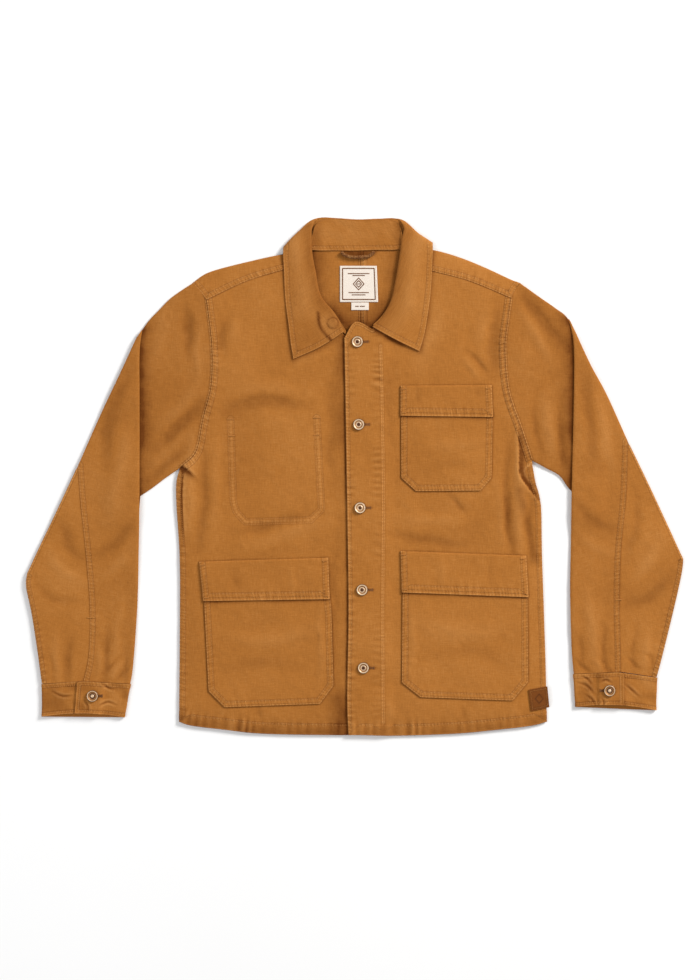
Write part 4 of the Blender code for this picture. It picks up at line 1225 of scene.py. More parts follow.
def makeSleeve(side):
    # tucked where it turns down: head, top panel, elbow panel and the under layer
    cut = sleeves[side]
    arm, tip = edges["arm" + side.capitalize()], edges["tip" + side.capitalize()]

    def add(piece, bottom, top, outer, inner, level, size):
        if side == "left":
            bottom, top, outer, inner = bottom[::-1], top[::-1], inner, outer
        size.setdefault("grain", cut["grain"])
        makeSheet(f"sleeve_{side}_{piece}", (bottom, top, outer, inner), level, size)

    def line(name):
        return curve(cut[name], 5)

    armhole = edgeOf((arm, cells["arm"]), (tip, cells["tip"]))
    hidden = edgeOf((cut["headHidden"], cells["arm"] + cells["tip"]))
    wristOuter, wristSeam, wristInner = cut["wrist"]

    corner = tuple(sorted(cut["crownTop"], key=lambda point: point[1]))
    crown, shoulder = cut["peak"] + cut["crown"][::-1][1:], corner + cut["headTop"][::-1][1:]
    outer = edgeOf((cut["forearm"][::-1], 5), (cut["elbow"][::-1], 6), (crown, 6), (shoulder, 5))
    inner = edgeOf((cut["underEdge"], 12), (cut["headUnder"][1:], 10))
    wrist = edgeOf(((wristOuter, wristSeam), 6), ((wristSeam, wristInner), 7))
    seams = [(line("forearm"), "edge", 1.0), (line("seam"), "single", 1.0)]
    more = {"pitch": 4.5, "coarse": 1, "restsOn": ["floor"], "seamed": "", "seams": seams, "underside": 1.0}
    add("under", wrist, armhole[::-1], outer, inner, underLevel, more)

    size = {"pitch": 1.9, "dense": (1.1, 8.0), "coarse": 3, "restsOn": [f"sleeve_{side}_under_cloth"]}
    shades = [(line("fold"), 17.0, 0.42), (line("fold"), 6.0, 0.5), (curve(arm, 5), 1.3, 0.5)]
    rolls = [(line("headTop"), 4.5, 0.9), (line("headUnder"), 4.5, 0.9)]
    seams = [(curve(arm, 5), "plain", 1.0)]
    head = edgeOf((cut["headTop"][::-1], 6))
    more = {"shades": shades, "rolls": rolls, "seams": seams, "seamed": "lrt", "grain": 0,
        "tone": bodyTone, "deepen": 0.12}
    add("head", edgeOf((cut["headUnder"], 6)), head, hidden, armhole, frontLevel, {**size, **more})

    wrist = edgeOf(((wristSeam, wristInner), 6))
    outer = edgeOf((cut["seam"], 12), (cut["crown"][::-1], 8))
    rolls = [(line("fold"), 5.0, 1.1), (line("crown"), 4.5, 0.9), (line("crownTop"), 16.0, 1.7)]
    more = {"seams": [(line("seam"), "single", 0.9)], "rolls": rolls, "seamed": "lr", "tone": sleeveTone,
        "deepen": 0.06}
    add("top", wrist, edgeOf((cut["crownTop"], 6)), outer, edgeOf((cut["fold"], 20)), sleeveLevel,
        {**size, **more})
    addSeamRows(f"sleeve_{side}_top")
    addTack(f"sleeve_{side}_top", *cut["placketTack"])

    wrist = edgeOf(((wristOuter, wristSeam), 4))
    outer = edgeOf((cut["forearm"][::-1], 5), (cut["elbow"][::-1], 7))
    seams = [(line("forearm"), "edge", 1.0), (line("elbow"), "plain", 1.0)]
    rolls = [(line("elbow"), 4.5, 0.9), (line("forearm"), 3.0, 0.9)]
    more = {"seams": seams, "rolls": rolls, "shades": [(line("seam"), 1.3, 0.4)], "seamed": "lr",
        "tone": sleeveTone}
    add("elbow", wrist, edgeOf((cut["peak"], 4)), outer, edgeOf((cut["seam"], 12)), sleeveLevel,
        {**size, **more})
    addSeamRows(f"sleeve_{side}_elbow")


# Cuffs: a doubled band wound once round the wrist, its end lapped over its start.

cuffs = {
    "right": {"wrist": (-468.0, -336.0), "mouth": (-468.0, -345.0), "top": (-311.7, -307.2, -311.7),
        "foot": (-360.5, -361.5)},
    "left": {"wrist": (454.5, 330.0), "mouth": (453.0, 333.0), "top": (-301.9, -293.7, -296.7),
        "foot": (-351.0, -346.0)},
    "turn": 1.7,
    "rows": 27,
    # short sharp folds round the buttons
    "creases": {
        "right": (
            ((-381, -307), (-369, -317), (-356, -320)),
            ((-384, -344), (-369, -338), (-354, -344)),
            ((-456, -320), (-438, -329), (-420, -328)),
            ((-405, -335), (-399, -344), (-400, -353)),
        ),
        "left": (
            ((333, -308), (350, -314), (363, -329)),
            ((346, -326), (357, -334), (363, -346)),
            ((370, -331), (375, -338), (372, -347)),
            ((405, -310), (420, -323), (430, -332)),
            ((369, -308), (378, -305), (388, -310)),
            ((342, -299), (352, -305), (357, -313)),
        ),
    },
}


def bandPath(width):
    # distance from the outer fold and height, once round with the lap
    turn, low = cuffs["turn"], cloth["doubled"] / 2
    high = low + 2 * turn
    lap = high + cloth["doubled"] + 0.5

    def arc(centre, start, end):
        return [(centre + turn * math.cos(a), low + turn + turn * math.sin(a))
            for a in np.linspace(start, end, 9)]

    def run(a, b, step=1.9):
        return [tuple(p) for p in np.linspace(a, b, max(2, int(math.dist(a, b) / step)))]

    path = run((0.5 * width, high), (turn, high))[:-1] + arc(turn, math.pi / 2, 1.5 * math.pi)
    path += run((turn, low), (width - turn, low), 3.0)[1:-1] + arc(width - turn, -math.pi / 2, math.pi / 2)
    path += run((width - turn, high), (0.74 * width, high))[1:-1]
    path += [(0.74 * width - 7 * t, high + (lap - high) * float(ramp(t, 0, 1)))
        for t in np.linspace(0, 1, 6)]
    return np.array(path + run((0.74 * width - 7, lap), (0.4 * width, lap))[1:])


def makeCuff(side):
    size = cuffs[side]
    path = bandPath(130.0)
    share, height = path[:, 0] / 130.0, path[:, 1]
    v = shares(50.0, 1.8, (1.0, 9.0), 1, True, True)[:, None]
    outer = size["wrist"][0] + v * (size["mouth"][0] - size["wrist"][0])
    inner = size["wrist"][1] + v * (size["mouth"][1] - size["wrist"][1])
    wrist = np.interp(share, (0, 0.47, 1), size["top"])
    foot = size["foot"][0] + share * (size["foot"][1] - size["foot"][0])
    x = outer + share * (inner - outer)
    raised = height > cloth["doubled"] / 2 + cuffs["turn"]
    # the mouth of the upper layer draws back from the lower one
    back = 5.5 * np.sin(np.pi * np.clip(share, 0, 1)) * raised
    y = wrist + v * (foot + back - wrist)
    upper = np.broadcast_to(raised, x.shape)
    wave = 0.5 * swell(x * 1.6,
        y * 1.6) + 0.35 * np.sin(x / 5.2 + 2 * softNoise(x, y, 18, 81)) * (np.exp(-v * 6)
            + 0.6 * np.exp(-(1 - v) * 5))
    z = np.where(upper, height
        + (0.9 * np.sin(np.pi * v) + 1.6 * v**3 * np.sin(np.pi * share))
            * np.sin(np.pi * np.clip(share, 0, 1)), height)
    z = z + np.where(upper, np.clip(wave, -0.2, 1.2), 0)
    points = np.stack([x, y, z], axis=2)
    run = runAlong(path)
    cut = np.stack(np.broadcast_arrays(run[None], -50 * v), axis=2)
    edgeAway = np.minimum(np.minimum(v * 50, (1 - v) * 50), np.broadcast_to((run[-1] - run)[None], x.shape))
    ripple = np.sin(cut[..., 0] / 1.25 + 2 * softNoise(cut[..., 0], cut[..., 1], 20, 83))
    lift = 0.28 * (1 - ramp(edgeAway, 5.2, 6.4)) - 0.22 * bell(edgeAway - 5,
        0.9) + 0.14 * ripple * np.exp(-edgeAway / 6)
    # painted highlight and painted shade that follow the cuff's undulation, and a slight even darkening
    tone = 0.9 * swell(x * 1.6, y * 1.6) + 0.7 * softNoise(x + 0.6 * y, y, 15, 97)
    lift = lift + 0.3 * softNoise(x + 0.6 * y, y, 15, 97)
    pale, dark = 0.22 * np.clip(tone, 0, 1), 0.36 * np.clip(-tone, 0, 1) + 0.04
    # each crease: painted shade in its trough and a painted highlight on its ridge
    for crease in cuffs["creases"][side]:
        away, onward = nearLine(curve(crease, 3), x, y, 20)
        taper = np.sin(np.pi * np.clip(onward / onward.max(), 0.04, 0.96)) * upper
        lift = lift + taper * (0.7 * bell(away - 3.2, 1.8) - 0.6 * bell(away, 1.4))
        dark = dark + 0.75 * taper * bell(away, 1.3)
        pale = pale + 0.4 * taper * bell(away - 3.2, 1.5)
    field = np.stack([cut[..., 0], edgeAway, 0 * x + 1, 0 * x + 5.6, 0 * x + 4.8, 0 * x + 99], axis=-1)
    if side == "left":
        points, cut, lift, field, pale, dark = (array[::-1]
            for array in (points, cut, lift, field, pale, dark))
    obj = sheetFrom(f"cuff_{side}_cloth", points, cut, cloth["doubled"], canvas, lift, field, pale, dark,
        coarse=1, facesUp=False)
    flat = (round(run[-1] * mm, 4), 0.05)
    declare(obj, f"cuff_{side}", "canvas", flat, flat[0] * flat[1] * 0.96, held="folded",
        restsOn=["floor", f"sleeve_{side}_under_cloth"])
    top = stitchedTop(points, lift)
    if side == "left":
        top = top[::-1]
    surfaces[f"cuff_{side}"] = {"grid": top}
    rows = threadRows.setdefault(f"cuff_{side}", [])
    for step in (5.0, 45.0):
        r = int(np.argmin(np.abs(v[:, 0] * 50 - step)))
        rows += [top[r, raised][share[raised] < 0.5][:40], top[r, -46:-3]]
    end = int(np.argmin(np.abs(run - (run[-1] - 5.0))))
    inside = (v[:, 0] > 0.1) & (v[:, 0] < 0.9)
    rows.append(top[inside, end])


# Collar: the stand round the neck and the fall that turns over it.

stand = (
    # neck seam, roll
    ((-13, 214, 5.4), (-12, 218, 5.6)),
    ((-38, 236, 5.7), (-28, 243, 6.0)),
    ((-58, 263, 6.0), (-50, 271, 6.3)),
    ((-69, 290, 6.2), (-58, 307, 6.5)),
    ((-74, 316, 6.2), (-63, 340, 6.4)),
    ((-72, 332, 6.0), (-62, 358, 5.8)),
    ((-64, 339, 5.2), (-60, 373, 4.6)),
    ((-51, 339, 4.0), (-50, 384, 3.4)),
    ((-27, 339, 3.4), (-27, 386, 3.4)),
    ((4, 339, 3.4), (4, 383, 3.4)),
    ((36, 340, 3.4), (36, 384, 3.4)),
    ((60, 340, 4.0), (62, 383, 3.4)),
    ((74, 341, 5.2), (70, 371, 4.6)),
    ((82, 332, 6.0), (70, 358, 5.8)),
    ((84, 316, 6.2), (70, 340, 6.4)),
    ((78, 295, 6.2), (64, 302, 6.5)),
    ((68, 268, 6.0), (56, 265, 6.3)),
    ((51, 245, 6.6), (42, 241, 6.8)),
    ((30, 225, 7.2), (29, 228, 7.2)),
)
fall = (
    # roll, middle, outer edge: on the fronts, and turned under behind the neck
    ((-15, 217, 8.0), (-51, 194, 7.8), (-91, 176, 6.4)),
    ((-28, 243, 8.4), (-64, 223, 8.8), (-95, 200, 6.6)),
    ((-50, 271, 8.7), (-76, 254, 9.2), (-98, 226, 6.8)),
    ((-58, 307, 8.9), (-82, 293, 9.4), (-103, 266, 7.2)),
    ((-64, 340, 8.8), (-86, 329, 9.2), (-105, 307, 7.8)),
    ((-64, 358, 8.2), (-93, 349, 8.2), (-106, 337, 6.8)),
    ((-63, 374, 7.2), (-82, 368, 5.4), (-102, 345, 0.8)),
    ((-53, 388, 1.6), (-63, 379, 1.0), (-78, 329, 0.8)),
    ((-27, 388, 1.5), (-28, 361, 0.8), (-30, 323, 0.8)),
    ((4, 386, 1.5), (4, 358, 0.8), (4, 320, 0.8)),
    ((36, 387, 1.5), (38, 361, 0.8), (39, 323, 0.8)),
    ((64, 387, 1.6), (74, 379, 1.0), (88, 331, 0.8)),
    ((75, 374, 7.2), (94, 366, 5.4), (114, 350, 0.8)),
    ((72, 358, 8.2), (104, 352, 8.2), (118, 344, 6.8)),
    ((70, 340, 8.8), (93, 331, 9.2), (117, 311, 7.8)),
    ((64, 302, 8.9), (90, 292, 9.4), (115, 277, 7.2)),
    ((56, 265, 8.7), (82, 251, 9.2), (110, 239, 6.8)),
    ((42, 239, 9.0), (74, 224, 8.8), (105, 211, 6.6)),
    ((28, 224, 9.4), (63, 205, 8.4), (98, 188, 6.4)),
)
# the right leaf's inner corner bulges over a hidden button
collar = {"columns": 270, "standRows": 24, "fallRows": 42, "edgeStations": 5.6, "rollDrop": 1.5,
    "lobe": (-32, 230)}
collar["lobeArc"] = ((-54, 245), (-50, 223), (-33, 203))


def loftGrid(stations, columns, rows):
    columnsOf = through(np.array(stations, float), np.linspace(0, len(stations) - 1, columns + 1))
    across = through(np.swapaxes(columnsOf, 0, 1), np.linspace(0, columnsOf.shape[1] - 1, rows + 1))
    across[..., 2] = np.maximum(across[..., 2], cloth["doubled"] / 2)
    return across


def lengthsFrom(points):
    # run along each column from the first row
    steps = np.linalg.norm(np.diff(points, axis=0), axis=2)
    return np.concatenate([np.zeros((1, points.shape[1])), np.cumsum(steps, axis=0)])


def makeCollar():
    doubled = cloth["doubled"]
    points = loftGrid(stand, collar["columns"], collar["standRows"])
    up = lengthsFrom(points)
    run = lengthsFrom(np.swapaxes(points, 0, 1)).T
    ripple = np.sin(run / 1.5 + 2.4 * softNoise(run, up, 24, 91))
    row = bell(up - 5.2, 0.9)
    lift = 0.3 * (1 - ramp(up, 4.6, 6.4)) - 0.2 * row + 0.13 * ripple * np.exp(-np.abs(up - 5)
        / 5) + 0.25 * softNoise(run, up, 16, 92)
    cut = np.stack([run, up], axis=2)
    field = np.stack([run, up, 0 * up + 0.8, 0 * up + 6.2, 0 * up + 5.2, 0 * up + 99], axis=-1)
    tone = 0.7 * softNoise(run, up, 26, 94) + 0.4 * softNoise(run, up, 11, 96)
    # darker round the sides of the neck, where it stands in the collar's shadow
    aside = ramp(np.abs(points[..., 0] - 6), 48, 66) * 0.42
    obj = sheetFrom("collar_stand_cloth", points, cut, doubled, canvas, lift, field,
        0.2 * np.clip(tone, 0, 1), 0.26 * np.clip(-tone, 0, 1) + aside + 0.1)
    flat, area = flatSize(points)
    declare(obj, "collar_stand", "canvas", flat, area, held="folded",
        restsOn=["back_right_cloth", "back_left_cloth", "collar_fall_cloth"])
    top = stitchedTop(points, lift)
    index = int(np.argmin(np.abs(up[:, collar["columns"] // 2] - 5.2)))
    threadRows["collar_stand"] = [top[index, 60:-60]]

    points = loftGrid(fall, collar["columns"], collar["fallRows"])
    across, x, y = lengthsFrom(points), points[..., 0], points[..., 1]
    leaf = ramp(points[..., 2], 4.0, 6.0)
    points[..., 2] -= rolledDrop(across, 4.5, collar["rollDrop"]) * leaf
    relief = 0.5 * swell(x + 300, y) + 0.5 * np.sin(np.pi * across / across.max(0)) * softNoise(x,
        y, 42, 93)
    lobe = np.hypot(x - collar["lobe"][0], y - collar["lobe"][1])
    relief += 1.3 * (1 - ramp(lobe, 5.5, 8.5)) + 0.9 * (1 - ramp(lobe, 10, 26))
    points[..., 2] += leaf * np.clip(relief, -0.25, 2.0)
    stations = collar["edgeStations"] / (len(fall) - 1)
    last = int(stations * collar["columns"])
    outlines = [
        np.concatenate([points[:, 0, :2], points[-1, 1 : last + 1, :2]]),
        np.concatenate([points[:, -1, :2], points[-1, -2 : -last - 2 : -1, :2]]),
    ]
    lift, field = np.zeros(leaf.shape), np.zeros((*leaf.shape, 6))
    field[..., 1] = 99.0
    half = collar["columns"] // 2
    for outline, part in zip(outlines, (slice(0, half), slice(half, None))):
        found = seamRelief([(evenly(outline, 60), "topstitch", 1.0)], points[:, part, 0],
            points[:, part, 1])
        lift[:, part] += found[0] * leaf[:, part]
        field[:, part] = found[1]
    field[..., 2] *= leaf * 0.8
    # the right leaf a little darker all over; painted shade by the roll, in the troughs, round the lobe and
    # along its arc; painted highlight on the crests and in a band along the leaf
    rightLeaf = 0.14 * ramp(-x, 0, 40)
    dark = rightLeaf + 0.3 * bell(across, 12) + 0.25 * np.clip(-relief, 0, 1) + 0.5 * bell(lobe - 8.0, 1.1)
    arc = nearLine(curve(collar["lobeArc"], 4), x, y, 12)[0]
    dark = leaf * (dark + 0.85 * bell(arc, 2.4))
    pale = leaf * (0.2 * np.clip(relief, 0, 1) + 0.12 * bell(across - 24, 12))
    run = lengthsFrom(np.swapaxes(points, 0, 1)).T
    cut = np.stack([run, across], axis=2)
    obj = sheetFrom("collar_fall_cloth", points, cut, doubled, canvas, lift, field, pale, dark,
        facesUp=False)
    flat, area = flatSize(points)
    declare(obj, "collar_fall", "canvas", flat, area, held="folded",
        restsOn=["front_right_cloth", "front_left_cloth", "floor"])
    top = stitchedTop(points, lift)
    rows = threadRows.setdefault("collar_fall", [])
    for outline, part in zip(outlines, (slice(0, half), slice(half, None))):
        inner = shifted(evenly(outline, 140), 6.6, outline.mean(0))
        inner = inner[5:-6]
        spots = top[:, part].reshape(-1, 3)
        spots = spots[spots[:, 2] > 5]
        gaps = np.hypot(inner[:, None, 0] - spots[None, :, 0], inner[:, None, 1] - spots[None, :, 1])
        nearest = np.argsort(gaps, axis=1)[:, :4]
        weight = 1 / (0.2 + np.take_along_axis(gaps, nearest, 1))
        height = (spots[nearest, 2] * weight).sum(1) / weight.sum(1)
        good = gaps.min(1) < 2.5
        rows.append(np.concatenate([inner, height[:, None]], axis=1)[good])


# Patch pockets: a bag with a wide turned hem across its mouth.

pockets = {
    "pocket_chest_left": {
        "left": ((71, 95), (71, -2)),
        "foot": ((71, -2), (93, -22), (190, -21), (206, -2)),
        "right": ((206, -2), (208, 94)),
        "band": ((70, 91), (208, 89), (206, 137), (70, 136)),
        "creases": ((93, 133, 99, 112, 3.5, -0.8), (180, 136, 188, 115, 3.5, -0.7),
            (106, 55, 144, 44, 189, 53, 9, 0.6), (114, 10, 152, 22, 186, 10, 8, -0.5)),
    },
    "pocket_lower_right": {
        "left": ((-225, -182), (-218, -322)),
        "foot": ((-218, -322), (-194, -346), (-51, -341), (-31, -314)),
        "right": ((-31, -314), (-34, -205), (-37, -179)),
        "band": ((-226, -187), (-37, -184), (-39, -122), (-232, -128)),
        "creases": ((-178, -140, -174, -170, 4, -0.5), (-93, -131, -87, -173, 5, 0.5),
            (-198, -230, -138, -245, -54, -227, 12, 0.8), (-194, -287, -138, -275, -81, -287, 10, -0.7),
                (-54, -200, -48, -260, -54, -311, 6, 0.7)),
    },
    "pocket_lower_left": {
        "left": ((73, -170), (72, -309)),
        "foot": ((72, -309), (100, -331), (238, -336), (261, -308)),
        "right": ((261, -308), (260, -176)),
        "band": ((72, -174), (261, -181), (258, -119), (70, -112)),
        "creases": ((129, -122, 135, -164, 5, 0.5), (204, -125, 210, -170, 4, -0.5),
            (92, -218, 152, -236, 234, -227, 12, 0.8), (99, -275, 162, -260, 231, -278, 10, -0.7),
                (87, -191, 90, -245, 87, -299, 6, 0.6)),
    },
}


def makePocket(node):
    cut = pockets[node]
    below = frontLevel if node.endswith("right") else lapLevel
    front = node.replace("pocket_lower", "front").replace("pocket_chest", "front") + "_cloth"

    def bagLevel(x, y):
        return below(x, y) + plyStep + 0.15 + np.maximum(-0.2, 0.9 * creaseRise(cut["creases"], x, y))

    def bandLevel(x, y):
        return bagLevel(x, y) + 1.45

    leftFoot, lowLeft, lowRight, rightFoot = cut["foot"]
    foot = edgeOf(((leftFoot, lowLeft), 2), ((lowLeft, lowRight), 10), ((lowRight, rightFoot), 2))
    mouth = edgeOf(((cut["left"][0], cut["right"][-1]), 14))
    patch = (foot, mouth, edgeOf((cut["left"][::-1], 10)), edgeOf((cut["right"], 10)))
    rim = straightRuns(cut["left"] + cut["foot"][1:-1] + cut["right"], 5)

    def tone(x, y):
        return 0.65 * creaseRise(cut["creases"], x, y) + 0.2 * swell(x, y)

    size = {"pitch": 1.8, "dense": (1.0, 10.0), "coarse": 3, "seams": [(rim, "patch", 0.9)],
        "seamed": "lrb", "tone": tone}
    size["rolls"] = [(rim, 2.0, 0.3)]
    band = [np.array(pair, float) for pair in zip(cut["band"], cut["band"][1:] + cut["band"][:1])]
    band = [evenly(side, 12) for side in band]
    size["shades"] = [(band[0], 3.6, 0.6)]
    makeSheet(node, patch, bagLevel, {**size, "restsOn": [front]})
    addSeamRows(node)
    seams = [(band[0], "mouth", 1.0), (band[1], "patch", 0.9), (band[3], "patch", 0.9)]
    rolls = [(band[1], 3.0, 1.2), (band[2], 3.0, 1.3), (band[3], 3.0, 1.2)]
    size = {"pitch": 1.6, "dense": (1.0, 13.0), "coarse": 3, "seams": seams, "rolls": rolls, "tone": tone}
    makeSheet(node + "_hem", quad(cut["band"]), bandLevel, {**size, "restsOn": [node + "_cloth"]})
    addSeamRows(node + "_hem")
    corners = np.array(cut["band"], float)
    for corner, across in ((0, 1), (1, 0), (2, 3), (3, 2)):
        inwards = (corners[across] - corners[corner]) / np.linalg.norm(corners[across] - corners[corner])
        rise = np.array((0, 5.0 if corner < 2 else -5.0))
        start = corners[corner] + inwards * 2 + rise
        addTack(node + "_hem", start, start + inwards * 5.5)


# Labels and the leather tab.

labels = {
    "neck": ((-21, 262), (36, 262), (34, 316), (-21, 316)),
    "size": ((-4, 250), (22, 250), (22, 261), (-4, 261)),
    "leather": ((266, -352), (293, -346), (290, -315), (262, -320)),
    "frameInset": 3.8,
}
stitchSizes["satin"] = {"Pitch": 0.0006, "Length": 0.0021, "Thickness": 0.0008, "Turn": math.pi / 2}
stitchSizes["motif"] = {"Pitch": 0.0006, "Length": 0.0019, "Thickness": 0.0007, "Turn": math.pi / 2}


def insetLoop(corners, inset, cellsPerSide=30):
    corners = np.array(corners, float)
    middle = corners.mean(0)
    scale = 1 - inset / (np.abs(corners - middle).mean())
    moved = middle + (corners - middle) * scale
    return np.concatenate([evenly(np.array([moved[i], moved[(i + 1) % 4]]), cellsPerSide)[:-1]
        for i in range(4)] + [moved[:1]])


def makeLabels():
    def labelLevel(x, y):
        return backLevel(x, y) + cloth["wall"] / 2 + 0.75 + 0.3 * swell(x * 1.5, y * 1.5) * 0.4

    def tabLevel(x, y):
        return frontLevel(x, y) + cloth["wall"] / 2 + 0.5 + 0.75 + 0.2 * softNoise(x, y, 9, 95)

    edge = {"dense": (0.8, 4.0), "pitch": 1.4, "coarse": 1, "wall": 0.7, "finish": woven}
    neck = makeSheet("neck_label", quad(labels["neck"]), labelLevel,
        {**edge, "restsOn": ["back_right_cloth", "back_left_cloth"]})
    size = makeSheet("size_label", quad(labels["size"]), labelLevel,
        {**edge, "restsOn": ["back_right_cloth"]})
    border = insetLoop(labels["leather"], 2.6)
    cx, cy = np.array(labels["leather"], float).mean(0)
    lozenge = straightRuns([(cx, cy + 7), (cx + 6, cy), (cx, cy - 7), (cx - 6, cy), (cx, cy + 7)], 3)
    tabMarks = [(border, 0.9, 0.6), (lozenge, 0.8, 0.6)]
    tab = makeSheet("hem_tab", quad(labels["leather"]), tabLevel,
        {**edge, "finish": leather, "wall": 1.5, "shades": tabMarks, "restsOn": ["front_left_cloth"]})
    for obj, slotName in ((neck, "woven_label"), (size, "woven_label"), (tab, "leather")):
        pieces[obj.name]["slot"] = slotName
    return border


def makeLabelThreads(border):
    # a woven frame and a plain lozenge with bars, and the stitches that hold label and tab
    frameLine = insetLoop(labels["neck"], labels["frameInset"], 60)
    cx, cy = np.array(labels["neck"], float).mean(0)
    motif = []
    for grow in (9.0, 5.0):
        lozenge = [(cx, cy + grow), (cx + grow * 0.9, cy), (cx, cy - grow), (cx - grow * 0.9, cy),
            (cx, cy + grow)]
        motif.append(straightRuns(lozenge, 1.0))
    motif.append(straightRuns([(cx - 2, cy), (cx + 2, cy)], 0.8))
    for rise, half in ((15.5, 16.0), (12.6, 9.0), (-13.0, 15.0), (-16.4, 10.0)):
        motif.append(straightRuns([(cx - half, cy + rise), (cx + half, cy + rise)], 1.0))
    made = [sew("neck_label_frame", [sewnTop("neck_label", frameLine, 0.05)], "satin", labelThread)]
    made.append(sew("neck_label_motif", [sewnTop("neck_label", line, 0.02) for line in motif], "motif",
        labelThread))
    pieces["neck_label_cloth"]["on"] += made
    sx, sy = np.array(labels["size"], float).mean(0)
    marks = [straightRuns([(sx - 7, sy), (sx - 2, sy)], 0.8), straightRuns([(sx, sy), (sx + 7, sy)], 0.8)]
    marks = [sewnTop("size_label", line, 0.02) for line in marks]
    pieces["size_label_cloth"]["on"].append(sew("size_label_motif", marks, "motif", labelThread))
    corners = insetLoop(labels["neck"], 1.3, 40)
    pieces["neck_label_cloth"]["on"].append(sew("neck_label_stitches",
        [sewnTop("neck_label", corners, 0.05)], "label", woven))
    pieces["hem_tab_cloth"]["on"].append(sew("hem_tab_stitches", [sewnTop("hem_tab", border, 0.05)],
        "label", thread))


# The hanger loop: three strands twisted round each other.

hanger = {
    "route": ((-19, 337, 6.4), (-14, 332, 6.6), (-3, 329, 6.9), (9, 329, 7.0), (21, 330, 6.8),
        (31, 337, 6.4)),
    "strands": 3,
    "strandRadius": 1.35,
    "offset": 1.25,
    "lay": 11.0,
}


def sideways(points):
    # two unit directions square to a line at each of its points
    tangent = np.gradient(points, axis=0)
    tangent /= np.linalg.norm(tangent, axis=1)[:, None]
    side = np.cross(tangent, (0, 0, 1.0))
    side /= np.linalg.norm(side, axis=1)[:, None]
    return side, np.cross(side, tangent)


def tube(points, radius, sides, wobble=0.0):
    # closed tube rings round a line, as vertices and faces
    side, up = sideways(points)
    count = len(points)
    angle = np.linspace(0, 2 * np.pi, sides, endpoint=False)
    ring = side[:, None] * np.cos(angle)[None, :, None] + up[:, None] * np.sin(angle)[None, :, None]
    taper = np.clip(np.minimum(np.arange(count), np.arange(count)[::-1]) / 2.0, 0.3, 1)
    bumps = 1 + wobble * np.sin(np.arange(count) * 1.3)
    vertices = (points[:, None] + ring * (radius * taper * bumps)[:, None, None]).reshape(-1, 3)
    faces = []
    for first in range(0, (count - 1) * sides, sides):
        for j in range(sides):
            k = (j + 1) % sides
            faces.append((first + j, first + k, first + sides + k, first + sides + j))
    last = (count - 1) * sides
    return vertices, faces + [tuple(range(sides - 1, -1, -1)), tuple(range(last, last + sides))]


def makeHanger():
    route = curve(hanger["route"], 0.45)
    side, up = sideways(route)
    run = runAlong(route)
    vertices, faces = [], []
    for strand in range(hanger["strands"]):
        turn = 2 * np.pi * (run / hanger["lay"] + strand / hanger["strands"])
        line = route + hanger["offset"] * (side * np.cos(turn)[:, None] + up * np.sin(turn)[:, None])
        spots, quads = tube(line, hanger["strandRadius"], 10, 0.08)
        faces += [tuple(i + sum(map(len, vertices)) for i in face) for face in quads]
        vertices.append(spots)
    obj = addObject("hanger_loop_cord", np.concatenate(vertices), faces, cordFinish)
    obj.data.shade_smooth()
    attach(obj, "root")
    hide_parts("hanger_loop")


# Buttons: ring-topped tack buttons of aged brass.

buttons = {
    # distance from the middle and height, from the foot up over the rim and in to the cap
    "body": ((0.0, 0.0), (4.2, 0.0), (6.6, 0.35), (8.1, 1.0), (8.6, 1.9), (8.35, 2.65), (7.6, 3.0),
        (6.7, 2.9), (6.0, 2.35), (5.5, 1.6), (4.9, 1.25), (4.3, 1.3), (3.7, 1.75), (3.0, 1.85),
            (2.6, 1.5), (0.0, 1.45)),
    "cap": ((0.0, 1.4), (2.2, 1.5), (2.35, 1.8), (2.0, 2.25), (1.2, 2.5), (0.0, 2.58)),
    # distance from the middle up to which a ring is aged brass (0), bright brass (1) or dark brass (2); the
    # dark outer edge of the front buttons is painted shade
    "rings": ((2.3, 2), (4.3, 1), (6.0, 0), (7.8, 1), (99.0, 2)),
    "cuffRings": ((2.3, 1), (4.3, 2), (7.1, 0), (7.8, 1), (99.0, 2)),
    "seats": {
        "button_1": (5, 202),
        "button_2": (7, 78),
        "button_3": (9, -47),
        "button_4": (12, -170),
        "button_5": (14, -287),
    },
    "cuffSeats": {"button_cuff_right": (-392, -329), "button_cuff_left": (383, -321)},
    "around": 44,
}


def turnedProfile(profile, around):
    # a lathe-turned shape from its profile, poles closed
    vertices = [(0, 0, profile[0][1])]
    rings = profile[1:-1]
    angle = np.linspace(0, 2 * math.pi, around, endpoint=False)
    for r, z in rings:
        vertices += [(r * math.cos(a), r * math.sin(a), z) for a in angle]
    vertices.append((0, 0, profile[-1][1]))
    faces = [(0, 1 + (j + 1) % around, 1 + j) for j in range(around)]
    for i in range(len(rings) - 1):
        a, b = 1 + i * around, 1 + (i + 1) * around
        faces += [(a + j, a + (j + 1) % around, b + (j + 1) % around, b + j) for j in range(around)]
    last, top = 1 + (len(rings) - 1) * around, len(vertices) - 1
    return vertices, faces + [(last + j, last + (j + 1) % around, top) for j in range(around)]


def smoothProfile(profile, per=3):
    dense = through(np.array(profile, float),
        np.linspace(0, len(profile) - 1, per * (len(profile) - 1) + 1))
    dense[:, 0] = np.maximum(dense[:, 0], 0)
    return [tuple(p) for p in dense]


